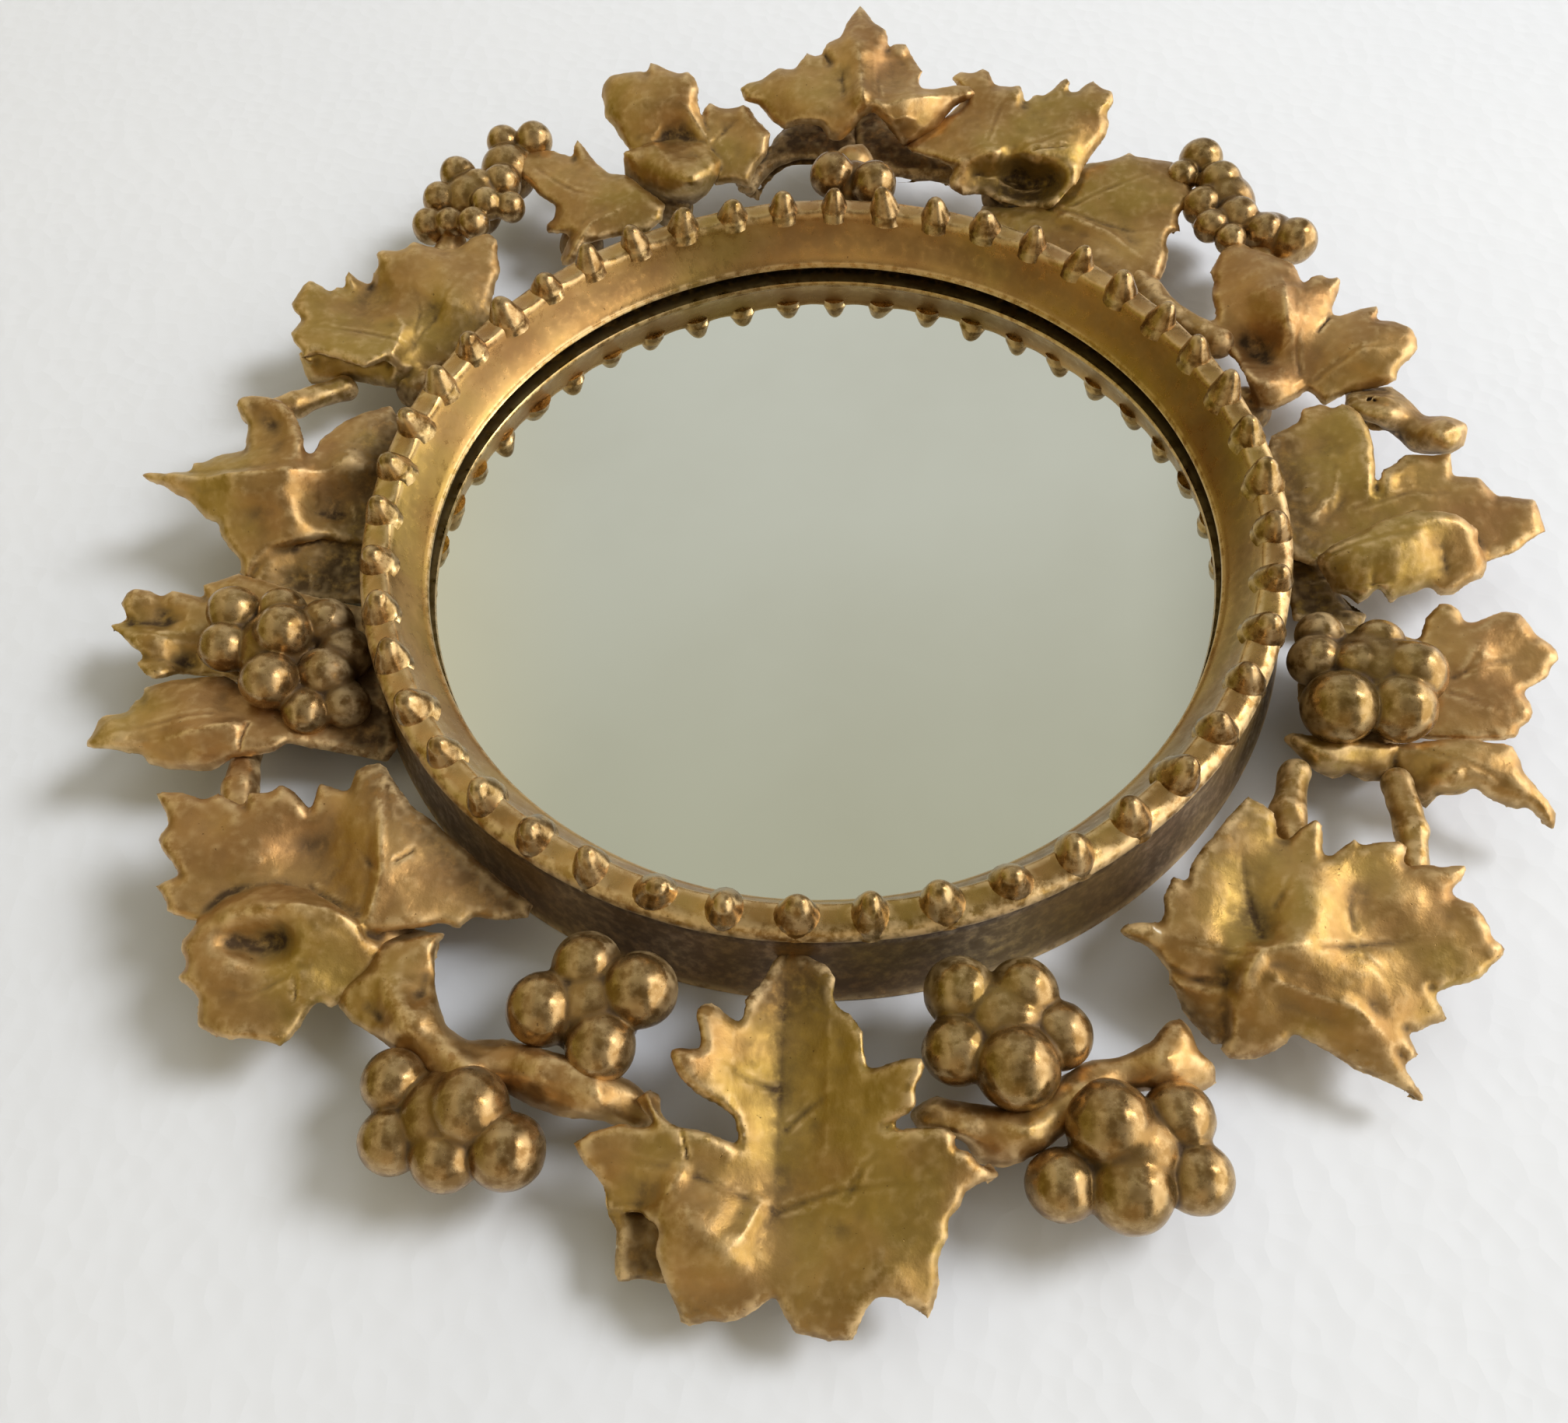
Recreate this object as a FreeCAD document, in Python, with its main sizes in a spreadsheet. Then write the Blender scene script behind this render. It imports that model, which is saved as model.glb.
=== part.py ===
"""Round carved and gilded wall mirror with a wreath of vine leaves and grapes, in millimetres.

The mirror lies on its back: +Z is the way the glass faces, +Y is the top of the mirror on the wall,
and the origin is the middle of the ring on its back face.
"""
import math
import os

import FreeCAD
import Part
import Sketcher
from FreeCAD import Vector

# Driving sizes, in millimetres and counts
SIZES = {
    # moulded ring that carries everything
    "sight_radius": 85,
    "moulding_width": 15,
    "ring_height": 24,
    "sight_height": 13,
    "lip_thickness": 2,
    "cove_width": 3.3,
    "cove_radius": 22,
    "rim_width": 8,
    "rim_round": 2.5,
    "rebate_width": 5,
    # bead course on the rim
    "bead_count": 46,
    "bead_radius": 3.25,
    "bead_inset": 0.3,
    # glass, board and the pins that hold them in
    "glass_thickness": 3,
    "board_thickness": 3,
    "pane_clearance": 0.4,
    "pin_count": 6,
    "pin_radius": 0.6,
    "pin_length": 8,
    "pin_depth": 4,
    # hanger let into the back at the top
    "plate_width": 12,
    "plate_length": 8,
    "plate_thickness": 1.2,
    "recess_clearance": 0.5,
    "barrel_radius": 2.2,
    "barrel_length": 8,
    "barrel_reach": 2.4,
    "ring_wire_radius": 1.1,
    "ring_bend_radius": 10,
    "ring_clearance": 0.2,
    "screw_head_radius": 1.9,
    "screw_head_height": 1,
    "screw_shank_radius": 0.9,
    "screw_length": 8,
    "screw_spacing": 7,
    "screw_clearance": 0.15,
    # carved wreath: the lengths that its shares are drawn in, across and up, then its pieces
    "wreath_span": 100,
    "wreath_depth": 24,
    "leaf_edge": 3,
    "leaf_core": 7,
    "leaf_crown": 6,
    "leaf_sag": 6,
    "grape_radius": 5.5,
    "stem_radius": 4,
    "knuckle_swell": 0.5,
    "glue_gap": 0.25,
    # how far a cutting tool runs past what it cuts
    "overrun": 20,
}

# Leaves: the vein junction, then each tip in turn, anticlockwise, with the depth of the notch after it.
# Places across are shares of the wreath's span, heights are shares of its depth,
# and a notch is a share of the mean reach of the two tips beside it.
LEAF_SHARES = {
    "leaf_bottom": (
        (-0.01, -1.36, 0.55),
        (
            (0.00, -0.97, 0.70, 0.80),
            (-0.16, -1.08, 0.85, 0.85),
            (-0.20, -1.15, 0.85, 0.36),
            (-0.35, -1.29, 0.75, 0.80),
            (-0.28, -1.40, 0.70, 0.88),
            (-0.26, -1.50, 0.55, 0.80),
            (-0.14, -1.56, 0.50, 0.80),
            (0.08, -1.57, 0.50, 0.88),
            (0.23, -1.53, 0.55, 0.85),
            (0.26, -1.42, 0.65, 0.85),
            (0.34, -1.32, 0.75, 0.72),
            (0.27, -1.25, 0.80, 0.75),
            (0.22, -1.14, 0.85, 0.75),
            (0.12, -1.07, 0.85, 0.85),
        ),
    ),
    "leaf_left_low": (
        (-0.77, -0.95, 0.70),
        (
            (-0.83, -0.62, 0.75, 0.85),
            (-0.92, -0.67, 0.75, 0.42),
            (-0.98, -0.67, 0.85, 0.85),
            (-1.09, -0.70, 0.85, 0.85),
            (-1.24, -0.70, 0.90, 0.85),
            (-1.20, -0.80, 0.85, 0.90),
            (-1.18, -0.89, 0.75, 0.72),
            (-1.10, -1.00, 0.85, 0.90),
            (-1.08, -1.06, 0.80, 0.90),
            (-1.01, -1.14, 0.60, 0.90),
            (-0.86, -1.17, 0.50, 0.75),
            (-0.68, -1.00, 0.60, 0.80),
            (-0.53, -0.91, 0.55, 0.70),
            (-0.68, -0.70, 0.70, 0.90),
        ),
    ),
    "leaf_left": (
        (-1.12, -0.46, 0.50),
        (
            (-1.00, -0.22, 0.45, 0.80),
            (-1.29, -0.20, 0.60, 0.85),
            (-1.44, -0.23, 0.75, 0.88),
            (-1.45, -0.31, 0.70, 0.85),
            (-1.37, -0.42, 0.60, 0.85),
            (-1.41, -0.54, 0.75, 0.92),
            (-1.40, -0.60, 0.70, 0.85),
            (-1.23, -0.65, 0.70, 0.85),
            (-1.00, -0.60, 0.50, 0.80),
            (-0.88, -0.40, 0.45, 0.80),
        ),
    ),
    "leaf_left_high": (
        (-1.13, 0.08, 0.85),
        (
            (-1.00, 0.28, 0.60, 0.25),
            (-1.36, 0.31, 0.90, 0.55),
            (-1.50, 0.06, 0.92, 0.75),
            (-1.30, -0.07, 0.70, 0.90),
            (-1.22, -0.18, 0.50, 0.70),
            (-1.08, -0.12, 0.50, 0.80),
            (-0.95, 0.08, 0.55, 0.70),
        ),
    ),
    "leaf_upper_left": (
        (-1.03, 0.44, 0.65),
        (
            (-0.84, 0.66, 0.75, 0.85),
            (-0.86, 0.83, 0.95, 0.85),
            (-1.00, 0.86, 0.90, 0.90),
            (-1.14, 0.82, 0.90, 0.80),
            (-1.21, 0.75, 0.75, 0.70),
            (-1.30, 0.72, 0.90, 0.90),
            (-1.32, 0.63, 0.90, 0.88),
            (-1.30, 0.52, 0.85, 0.90),
            (-1.25, 0.45, 0.80, 0.80),
            (-1.12, 0.37, 0.45, 0.90),
            (-0.97, 0.35, 0.45, 0.80),
            (-0.82, 0.50, 0.55, 0.80),
        ),
    ),
    "leaf_top_left_low": (
        (-0.68, 1.02, 0.70),
        (
            (-0.47, 0.97, 0.65, 0.80),
            (-0.57, 1.07, 0.70, 0.85),
            (-0.70, 1.26, 0.80, 0.60),
            (-0.87, 1.17, 0.75, 0.85),
            (-0.84, 1.06, 0.70, 0.75),
            (-0.72, 0.87, 0.60, 0.75),
            (-0.57, 0.76, 0.55, 0.80),
        ),
    ),
    "leaf_top_left": (
        (-0.46, 1.16, 0.90),
        (
            (-0.24, 1.20, 0.90, 0.75),
            (-0.33, 1.30, 1.00, 0.80),
            (-0.41, 1.41, 1.20, 0.92),
            (-0.51, 1.45, 1.25, 0.92),
            (-0.61, 1.39, 1.20, 0.95),
            (-0.63, 1.30, 1.10, 0.85),
            (-0.57, 1.13, 0.80, 0.85),
            (-0.50, 1.01, 0.60, 0.90),
            (-0.35, 0.92, 0.60, 0.85),
            (-0.28, 1.08, 0.75, 0.85),
        ),
    ),
    "leaf_top": (
        (0.08, 1.27, 1.20),
        (
            (0.20, 1.38, 1.20, 0.85),
            (0.18, 1.50, 1.25, 0.85),
            (0.05, 1.57, 1.48, 0.75),
            (-0.10, 1.47, 1.25, 0.85),
            (-0.18, 1.40, 1.20, 0.88),
            (-0.26, 1.34, 1.10, 0.80),
            (-0.14, 1.18, 1.10, 0.90),
            (0.00, 1.14, 1.00, 0.90),
            (0.12, 1.15, 1.00, 0.90),
            (0.20, 1.22, 1.05, 0.85),
        ),
    ),
    "leaf_top_right": (
        (0.42, 1.18, 0.92),
        (
            (0.67, 1.18, 0.95, 0.85),
            (0.69, 1.31, 1.10, 0.88),
            (0.59, 1.38, 1.15, 0.75),
            (0.47, 1.34, 1.10, 0.80),
            (0.37, 1.42, 1.15, 0.90),
            (0.30, 1.40, 1.10, 0.85),
            (0.24, 1.27, 1.05, 0.85),
            (0.25, 1.12, 0.90, 0.85),
            (0.34, 0.92, 0.60, 0.85),
            (0.50, 1.00, 0.60, 0.90),
            (0.60, 1.10, 0.80, 0.85),
        ),
    ),
    "leaf_right_top": (
        (0.64, 1.00, 0.72),
        (
            (0.84, 0.93, 0.70, 0.85),
            (0.86, 1.05, 0.75, 0.90),
            (0.84, 1.17, 0.80, 0.90),
            (0.75, 1.20, 0.80, 0.90),
            (0.63, 1.15, 0.75, 0.80),
            (0.53, 1.00, 0.60, 0.90),
            (0.50, 0.80, 0.55, 0.85),
            (0.62, 0.75, 0.55, 0.85),
            (0.78, 0.83, 0.65, 0.80),
        ),
    ),
    "leaf_right_upper": (
        (1.00, 0.42, 0.62),
        (
            (1.26, 0.41, 0.75, 0.90),
            (1.33, 0.53, 0.85, 0.88),
            (1.27, 0.65, 0.90, 0.70),
            (1.20, 0.75, 0.90, 0.88),
            (1.10, 0.80, 0.90, 0.90),
            (0.96, 0.86, 0.80, 0.88),
            (0.89, 0.75, 0.70, 0.70),
            (0.81, 0.55, 0.55, 0.80),
            (0.93, 0.32, 0.50, 0.85),
            (1.05, 0.32, 0.50, 0.85),
        ),
    ),
    "leaf_right": (
        (1.09, 0.06, 0.62),
        (
            (1.50, 0.07, 0.85, 0.90),
            (1.41, 0.13, 0.80, 0.88),
            (1.34, 0.20, 0.75, 0.65),
            (1.17, 0.30, 0.75, 0.92),
            (1.06, 0.32, 0.70, 0.90),
            (0.98, 0.20, 0.55, 0.90),
            (0.95, 0.02, 0.50, 0.90),
            (1.03, -0.16, 0.50, 0.85),
            (1.12, -0.20, 0.55, 0.85),
            (1.25, -0.17, 0.60, 0.85),
            (1.36, -0.10, 0.70, 0.85),
            (1.50, -0.01, 0.80, 0.94),
        ),
    ),
    "leaf_right_grapes": (
        (1.13, -0.48, 0.48),
        (
            (1.36, -0.44, 0.70, 0.85),
            (1.41, -0.37, 0.75, 0.90),
            (1.44, -0.30, 0.80, 0.90),
            (1.38, -0.22, 0.75, 0.82),
            (1.28, -0.22, 0.65, 0.88),
            (1.18, -0.22, 0.55, 0.80),
            (1.00, -0.26, 0.40, 0.80),
            (0.87, -0.42, 0.40, 0.85),
            (0.91, -0.54, 0.50, 0.90),
            (1.05, -0.59, 0.55, 0.90),
            (1.20, -0.60, 0.50, 0.85),
            (1.34, -0.68, 0.65, 0.75),
        ),
    ),
    "leaf_right_low": (
        (0.80, -0.93, 0.75),
        (
            (1.20, -0.90, 0.70, 0.90),
            (1.17, -0.77, 0.70, 0.85),
            (1.07, -0.72, 0.75, 0.88),
            (0.98, -0.72, 0.75, 0.82),
            (0.92, -0.68, 0.80, 0.70),
            (0.82, -0.65, 0.80, 0.88),
            (0.60, -0.76, 0.60, 0.85),
            (0.55, -0.90, 0.70, 0.80),
            (0.64, -0.99, 0.65, 0.90),
            (0.72, -1.12, 0.55, 0.85),
            (0.86, -1.10, 0.60, 0.85),
            (1.01, -1.17, 0.55, 0.70),
            (1.08, -1.05, 0.55, 0.80),
            (1.14, -0.97, 0.60, 0.90),
        ),
    ),
}

# Grapes: places like the leaf tips', in a span and depth tied to the berry, and size as a share of the
# grape radius. The first of each cluster is the low core that joins the rest.
GRAPE_SHARES = {
    "grapes_bottom_left_inner": (
        (-0.350, -1.060, 0.48, 1.40),
        (-0.350, -0.965, 0.60, 1.15),
        (-0.270, -1.040, 0.66, 1.25),
        (-0.440, -1.085, 0.66, 1.18),
        (-0.320, -1.140, 0.64, 1.15),
    ),
    "grapes_bottom_left_outer": (
        (-0.560, -1.280, 0.44, 1.40),
        (-0.660, -1.220, 0.56, 1.02),
        (-0.660, -1.310, 0.52, 1.06),
        (-0.520, -1.250, 0.62, 1.12),
        (-0.550, -1.335, 0.52, 1.05),
        (-0.440, -1.310, 0.54, 1.18),
    ),
    "grapes_left": (
        (-1.080, -0.370, 0.52, 1.50),
        (-1.180, -0.280, 0.70, 0.80),
        (-1.100, -0.270, 0.74, 0.90),
        (-1.090, -0.345, 0.80, 0.90),
        (-1.200, -0.360, 0.68, 0.85),
        (-1.080, -0.450, 0.76, 0.95),
        (-1.000, -0.300, 0.70, 0.80),
        (-0.990, -0.420, 0.68, 0.85),
        (-1.015, -0.495, 0.66, 0.80),
    ),
    "grapes_upper_left": (
        (-0.965, 0.990, 0.58, 1.35),
        (-0.920, 1.105, 0.62, 1.20),
        (-0.910, 1.240, 0.70, 0.85),
        (-0.830, 1.250, 0.72, 0.85),
        (-0.870, 1.190, 0.64, 0.90),
        (-0.990, 1.110, 0.74, 0.85),
        (-1.020, 1.020, 0.74, 0.80),
        (-1.040, 0.930, 0.72, 0.85),
        (-0.910, 1.030, 0.82, 0.80),
        (-0.930, 0.940, 0.80, 0.80),
        (-0.850, 0.990, 0.76, 0.75),
    ),
    "grapes_top": (
        (0.050, 1.000, 0.78, 1.00),
        (0.010, 1.050, 0.94, 0.85),
        (0.090, 1.050, 0.94, 0.88),
    ),
    "grapes_upper_right": (
        (0.990, 0.980, 0.60, 1.30),
        (0.950, 1.070, 0.62, 1.10),
        (0.930, 1.160, 0.72, 0.90),
        (0.980, 1.085, 0.76, 0.90),
        (1.010, 0.990, 0.80, 0.85),
        (0.905, 0.985, 0.72, 0.85),
        (0.960, 0.905, 0.74, 0.75),
        (1.060, 0.920, 0.70, 0.85),
        (1.125, 0.890, 0.70, 0.90),
    ),
    "grapes_right": (
        (1.060, -0.370, 0.48, 1.60),
        (0.980, -0.290, 0.64, 0.80),
        (1.070, -0.280, 0.68, 0.90),
        (1.060, -0.350, 0.80, 0.75),
        (1.150, -0.350, 0.76, 1.00),
        (1.010, -0.440, 0.72, 1.05),
        (1.130, -0.430, 0.72, 0.95),
    ),
    "grapes_bottom_right_inner": (
        (0.350, -1.080, 0.48, 1.40),
        (0.280, -0.985, 0.62, 1.15),
        (0.400, -1.030, 0.66, 1.12),
        (0.460, -1.090, 0.62, 1.05),
        (0.270, -1.140, 0.64, 1.10),
        (0.380, -1.150, 0.70, 1.30),
    ),
    "grapes_bottom_right_outer": (
        (0.540, -1.270, 0.44, 1.50),
        (0.520, -1.220, 0.62, 1.22),
        (0.630, -1.200, 0.56, 1.10),
        (0.430, -1.320, 0.52, 1.12),
        (0.530, -1.340, 0.54, 1.20),
        (0.645, -1.310, 0.52, 1.06),
    ),
}

# Vine stems: the knuckles along each, placed like the grapes, sized as shares of the stem radius.
STEM_SHARES = {
    "stem_bottom_left": (
        (-0.76, -1.00, 0.42, 1.00),
        (-0.68, -1.08, 0.48, 1.20),
        (-0.55, -1.17, 0.50, 1.05),
        (-0.40, -1.22, 0.50, 1.00),
        (-0.20, -1.28, 0.24, 0.85),
    ),
    "stem_bottom_right": (
        (0.68, -1.07, 0.46, 1.00),
        (0.57, -1.13, 0.50, 0.80),
        (0.44, -1.20, 0.50, 0.85),
        (0.33, -1.25, 0.50, 0.90),
        (0.17, -1.28, 0.24, 0.80),
    ),
    "stem_arch_left": (
        (-0.24, 0.96, 0.48, 1.00),
        (-0.19, 1.08, 0.66, 1.10),
        (-0.08, 1.18, 0.80, 1.00),
        (0.04, 1.23, 0.86, 0.95),
    ),
    "stem_arch_right": (
        (0.29, 0.95, 0.48, 1.00),
        (0.26, 1.08, 0.66, 1.10),
        (0.16, 1.18, 0.80, 1.00),
        (0.04, 1.23, 0.86, 0.95),
    ),
    "stem_cut_right": (
        (1.12, 0.40, 0.48, 1.00),
        (1.24, 0.35, 0.56, 0.95),
        (1.34, 0.25, 0.66, 1.10),
    ),
    "stem_left_high": (
        (-1.16, 0.42, 0.46, 0.70),
        (-1.25, 0.34, 0.56, 0.70),
        (-1.33, 0.29, 0.66, 0.65),
    ),
    "stem_left_low": (
        (-1.13, -0.57, 0.40, 0.70),
        (-1.11, -0.66, 0.48, 0.85),
        (-1.08, -0.76, 0.56, 0.70),
    ),
    "stem_right_low": (
        (0.93, -0.55, 0.42, 0.70),
        (0.90, -0.64, 0.48, 0.80),
        (0.90, -0.74, 0.56, 0.70),
    ),
    "stem_right_outer": (
        (1.12, -0.56, 0.40, 0.70),
        (1.12, -0.67, 0.46, 0.75),
        (1.10, -0.78, 0.52, 0.70),
    ),
    "stem_right_top": (
        (0.74, 0.84, 0.46, 0.80),
        (0.80, 0.68, 0.50, 0.90),
        (0.92, 0.58, 0.50, 0.80),
    ),
    "stem_upper_left": (
        (-1.00, 0.64, 0.46, 0.85),
        (-1.01, 0.77, 0.52, 0.95),
        (-0.98, 0.92, 0.58, 0.85),
    ),
    "stem_upper_right": (
        (1.04, 0.66, 0.48, 0.85),
        (1.06, 0.78, 0.54, 0.95),
        (1.03, 0.92, 0.58, 0.85),
    ),
}

# The span and depth that clusters are drawn in, as multiples of the grape radius
CLUSTER_SPAN_SHARE = 18.2
CLUSTER_DEPTH_SHARE = 4.4

# Where a rib's mid point stands between a leaf's junction and a tip
RIB_SHARE = 0.55

# Flat sides round a ball or a stem, and bands from pole to pole
BEAD_SIDES = 8
BEAD_BANDS = 6
GRAPE_SIDES = 8
GRAPE_BANDS = 6
STEM_SIDES = 6
STEM_BANDS = 4

FULL_TURN = 360
HALF_TURN = 180
QUARTER_TURN = 90
BOTTOM_BEARING = -90
FIRST_PIN_BEARING = 0

doc = FreeCAD.newDocument("VineMirror")
sheet = doc.addObject("Spreadsheet::Sheet", "Sizes")
for row, (alias, number) in enumerate(SIZES.items(), start=1):
    sheet.set(f"A{row}", alias)
    sheet.set(f"B{row}", str(number))
    sheet.setAlias(f"B{row}", alias)
doc.recompute()

# Sizes worked out from the sheet, as formulas
RING_RADIUS = "(Sizes.sight_radius + Sizes.moulding_width)"
RIM_INNER = "(Sizes.sight_radius + Sizes.cove_width)"
RIM_OUTER = f"({RIM_INNER} + Sizes.rim_width)"
RIM_SHOULDER = "(Sizes.ring_height - Sizes.rim_round)"
REBATE_RADIUS = "(Sizes.sight_radius + Sizes.rebate_width)"
SEAT_HEIGHT = "(Sizes.sight_height - Sizes.lip_thickness)"
GLASS_BACK = f"({SEAT_HEIGHT} - Sizes.glass_thickness)"
BOARD_BACK = f"({GLASS_BACK} - Sizes.board_thickness)"
PANE_RADIUS = f"({REBATE_RADIUS} - Sizes.pane_clearance)"
BEAD_CIRCLE = f"({RIM_INNER} + Sizes.bead_radius + Sizes.bead_inset)"
BARREL_HEIGHT = "(Sizes.barrel_radius + Sizes.ring_clearance)"
BARREL_PLACE = f"({REBATE_RADIUS} - Sizes.barrel_reach)"
PLATE_TOP = f"({BARREL_HEIGHT} + Sizes.barrel_radius)"
PLATE_UNDERSIDE = f"({PLATE_TOP} - Sizes.plate_thickness)"
RECESS_END = f"({REBATE_RADIUS} + Sizes.plate_length + Sizes.recess_clearance)"
SCREW_PLACE = f"({REBATE_RADIUS} + Sizes.plate_length / 2)"


def size(formula):
    """The value of a formula over the sheet's aliases."""
    return float(sheet.evalExpression(formula))


def origin_part(body, role):
    """One of a body's own origin planes or axes."""
    return next(item for item in body.Origin.OriginFeatures if item.Role == role)


def new_sketch(body, name, role):
    """An empty sketch on one of a body's origin planes."""
    sketch = body.newObject("Sketcher::SketchObject", name)
    sketch.AttachmentSupport = [(origin_part(body, role), "")]
    sketch.MapMode = "FlatFace"
    return sketch


def draw_outline(sketch, corners, arcs):
    """A closed outline through corners given as formulas; arcs gives some sides a radius and a bulge."""
    places = [Vector(size(across), size(up), 0) for across, up in corners]
    ends = []
    for index, start in enumerate(places):
        end = places[(index + 1) % len(places)]
        if index in arcs:
            radius, side = arcs[index]
            chord = end - start
            rise = size(radius) - math.sqrt(size(radius) ** 2 - (chord.Length / 2) ** 2)
            crest = (start + end) / 2 + Vector(-chord.y, chord.x, 0).normalize() * rise * side
            sketch.addGeometry(Part.Arc(start, crest, end), False)
        else:
            sketch.addGeometry(Part.LineSegment(start, end), False)
        forward = (sketch.Geometry[index].StartPoint - start).Length < (end - start).Length / 2
        ends.append((1, 2) if forward else (2, 1))
    for index, (first, last) in enumerate(ends):
        following = (index + 1) % len(ends)
        sketch.addConstraint(Sketcher.Constraint("Coincident", index, last, following, ends[following][0]))
    for index, corner in enumerate(corners):
        for kind, formula in zip(("DistanceX", "DistanceY"), corner):
            held = Sketcher.Constraint(kind, -1, 1, index, ends[index][0], size(formula))
            sketch.setExpression(f"Constraints[{sketch.addConstraint(held)}]", formula)
    for index, (radius, side) in arcs.items():
        held = Sketcher.Constraint("Radius", index, size(radius))
        sketch.setExpression(f"Constraints[{sketch.addConstraint(held)}]", radius)


def primitive(kind, name, **formulas):
    """A Part primitive with its sizes bound to formulas."""
    item = doc.addObject(f"Part::{kind}", name)
    for key, formula in formulas.items():
        item.setExpression(key, formula)
    return item


def put(item, across="0", along="0", up="0", axis=None, angle=0):
    """Place a primitive by formulas, turned about an axis."""
    if axis is not None:
        item.Placement = FreeCAD.Placement(Vector(), FreeCAD.Rotation(axis, angle))
    item.setExpression("Placement.Base.x", across)
    item.setExpression("Placement.Base.y", along)
    item.setExpression("Placement.Base.z", up)
    return item


def joined(label, items, kind="MultiFuse"):
    """Several objects as one, fused or as a group of separate solids."""
    whole = doc.addObject(f"Part::{kind}", label)
    whole.Label = label
    if kind == "Compound":
        whole.Links = items
    else:
        whole.Shapes = items
    return whole


def ring_frame():
    """The moulded ring: sight lip, cove, rim, flared outer wall, rebate and the recess for the hanger."""
    body = doc.addObject("PartDesign::Body", "ring_frame")
    profile = new_sketch(body, "ring_profile", "XZ_Plane")
    corners = (
        ("Sizes.sight_radius", SEAT_HEIGHT),
        ("Sizes.sight_radius", "Sizes.sight_height"),
        (RIM_INNER, "Sizes.ring_height"),
        (f"{RIM_OUTER} - Sizes.rim_round", "Sizes.ring_height"),
        (RIM_OUTER, RIM_SHOULDER),
        (RING_RADIUS, "0"),
        (REBATE_RADIUS, "0"),
        (REBATE_RADIUS, SEAT_HEIGHT),
    )
    draw_outline(profile, corners, {1: ("Sizes.cove_radius", -1), 3: ("Sizes.rim_round", 1)})
    turn = body.newObject("PartDesign::Revolution", "ring_turn")
    turn.Profile = profile
    turn.ReferenceAxis = (origin_part(body, "Z_Axis"), [""])
    turn.Angle = FULL_TURN
    doc.recompute()
    recess = new_sketch(body, "hanger_recess_outline", "XY_Plane")
    half_width = "(Sizes.ring_bend_radius + Sizes.ring_wire_radius + Sizes.recess_clearance)"
    corners = (
        (f"-{half_width}", BARREL_PLACE),
        (half_width, BARREL_PLACE),
        (half_width, RECESS_END),
        (f"-{half_width}", RECESS_END),
    )
    draw_outline(recess, corners, {})
    pocket = body.newObject("PartDesign::Pocket", "hanger_recess")
    pocket.Profile = recess
    pocket.setExpression("Length", PLATE_TOP)
    pocket.Reversed = True
    solid_before = turn.Shape.Volume
    doc.recompute()
    if pocket.Shape.Volume >= solid_before:
        raise RuntimeError("the hanger recess cut nothing")
    return body


def faceted(loops):
    """A solid closed by flat faces, each given by its corners."""
    solid = Part.Solid(Part.Shell([Part.Face(Part.makePolygon(loop + loop[:1])) for loop in loops]))
    if solid.Volume < 0:
        solid.reverse()
    return solid


def polygon(centre, radius, axis, sides):
    """The corners of a regular polygon square to an axis."""
    turn = FreeCAD.Rotation(Vector(0, 0, 1), axis)
    angles = [math.tau * index / sides for index in range(sides)]
    return [centre + turn.multVec(Vector(math.cos(a), math.sin(a), 0) * radius) for a in angles]


def band(lower, upper):
    """The flat sides between two polygons."""
    count = len(lower)
    return [
        [lower[index], lower[(index + 1) % count], upper[(index + 1) % count], upper[index]]
        for index in range(count)
    ]


def cap(ring, point):
    """The flat sides between a polygon and a point."""
    return [[ring[index - 1], ring[index], point] for index in range(len(ring))]


def ball(centre, radius, sides, bands, first_band=0):
    """A faceted ball; first_band above zero cuts it off flat at that band."""
    up = Vector(0, 0, 1)
    rings = []
    for index in range(max(first_band, 1), bands):
        angle = math.pi * index / bands
        middle = centre - up * (radius * math.cos(angle))
        rings.append(polygon(middle, radius * math.sin(angle), up, sides))
    loops = cap(rings[-1], centre + up * radius)
    for lower, upper in zip(rings, rings[1:]):
        loops += band(lower, upper)
    loops += [rings[0]] if first_band else cap(rings[0], centre - up * radius)
    return faceted(loops)


def rim_beads():
    """The course of half-round beads standing on the rim, one of them at the bottom of the mirror."""
    count = round(size("Sizes.bead_count"))
    beads = []
    for index in range(count):
        angle = math.radians(BOTTOM_BEARING + index * FULL_TURN / count)
        outward = Vector(math.cos(angle), math.sin(angle), 0) * size(BEAD_CIRCLE)
        foot = outward + Vector(0, 0, size("Sizes.ring_height"))
        beads.append(ball(foot, size("Sizes.bead_radius"), BEAD_SIDES, BEAD_BANDS, BEAD_BANDS // 2))
    item = doc.addObject("Part::Feature", "rim_beads")
    item.Shape = Part.makeCompound(beads)
    return item


def panes():
    """The mirror glass behind the lip and the backing board behind the glass."""
    glass = primitive("Cylinder", "mirror_glass", Radius=PANE_RADIUS, Height="Sizes.glass_thickness")
    board = primitive("Cylinder", "backing_board", Radius=PANE_RADIUS, Height="Sizes.board_thickness")
    return put(glass, up=GLASS_BACK), put(board, up=BOARD_BACK)


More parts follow.
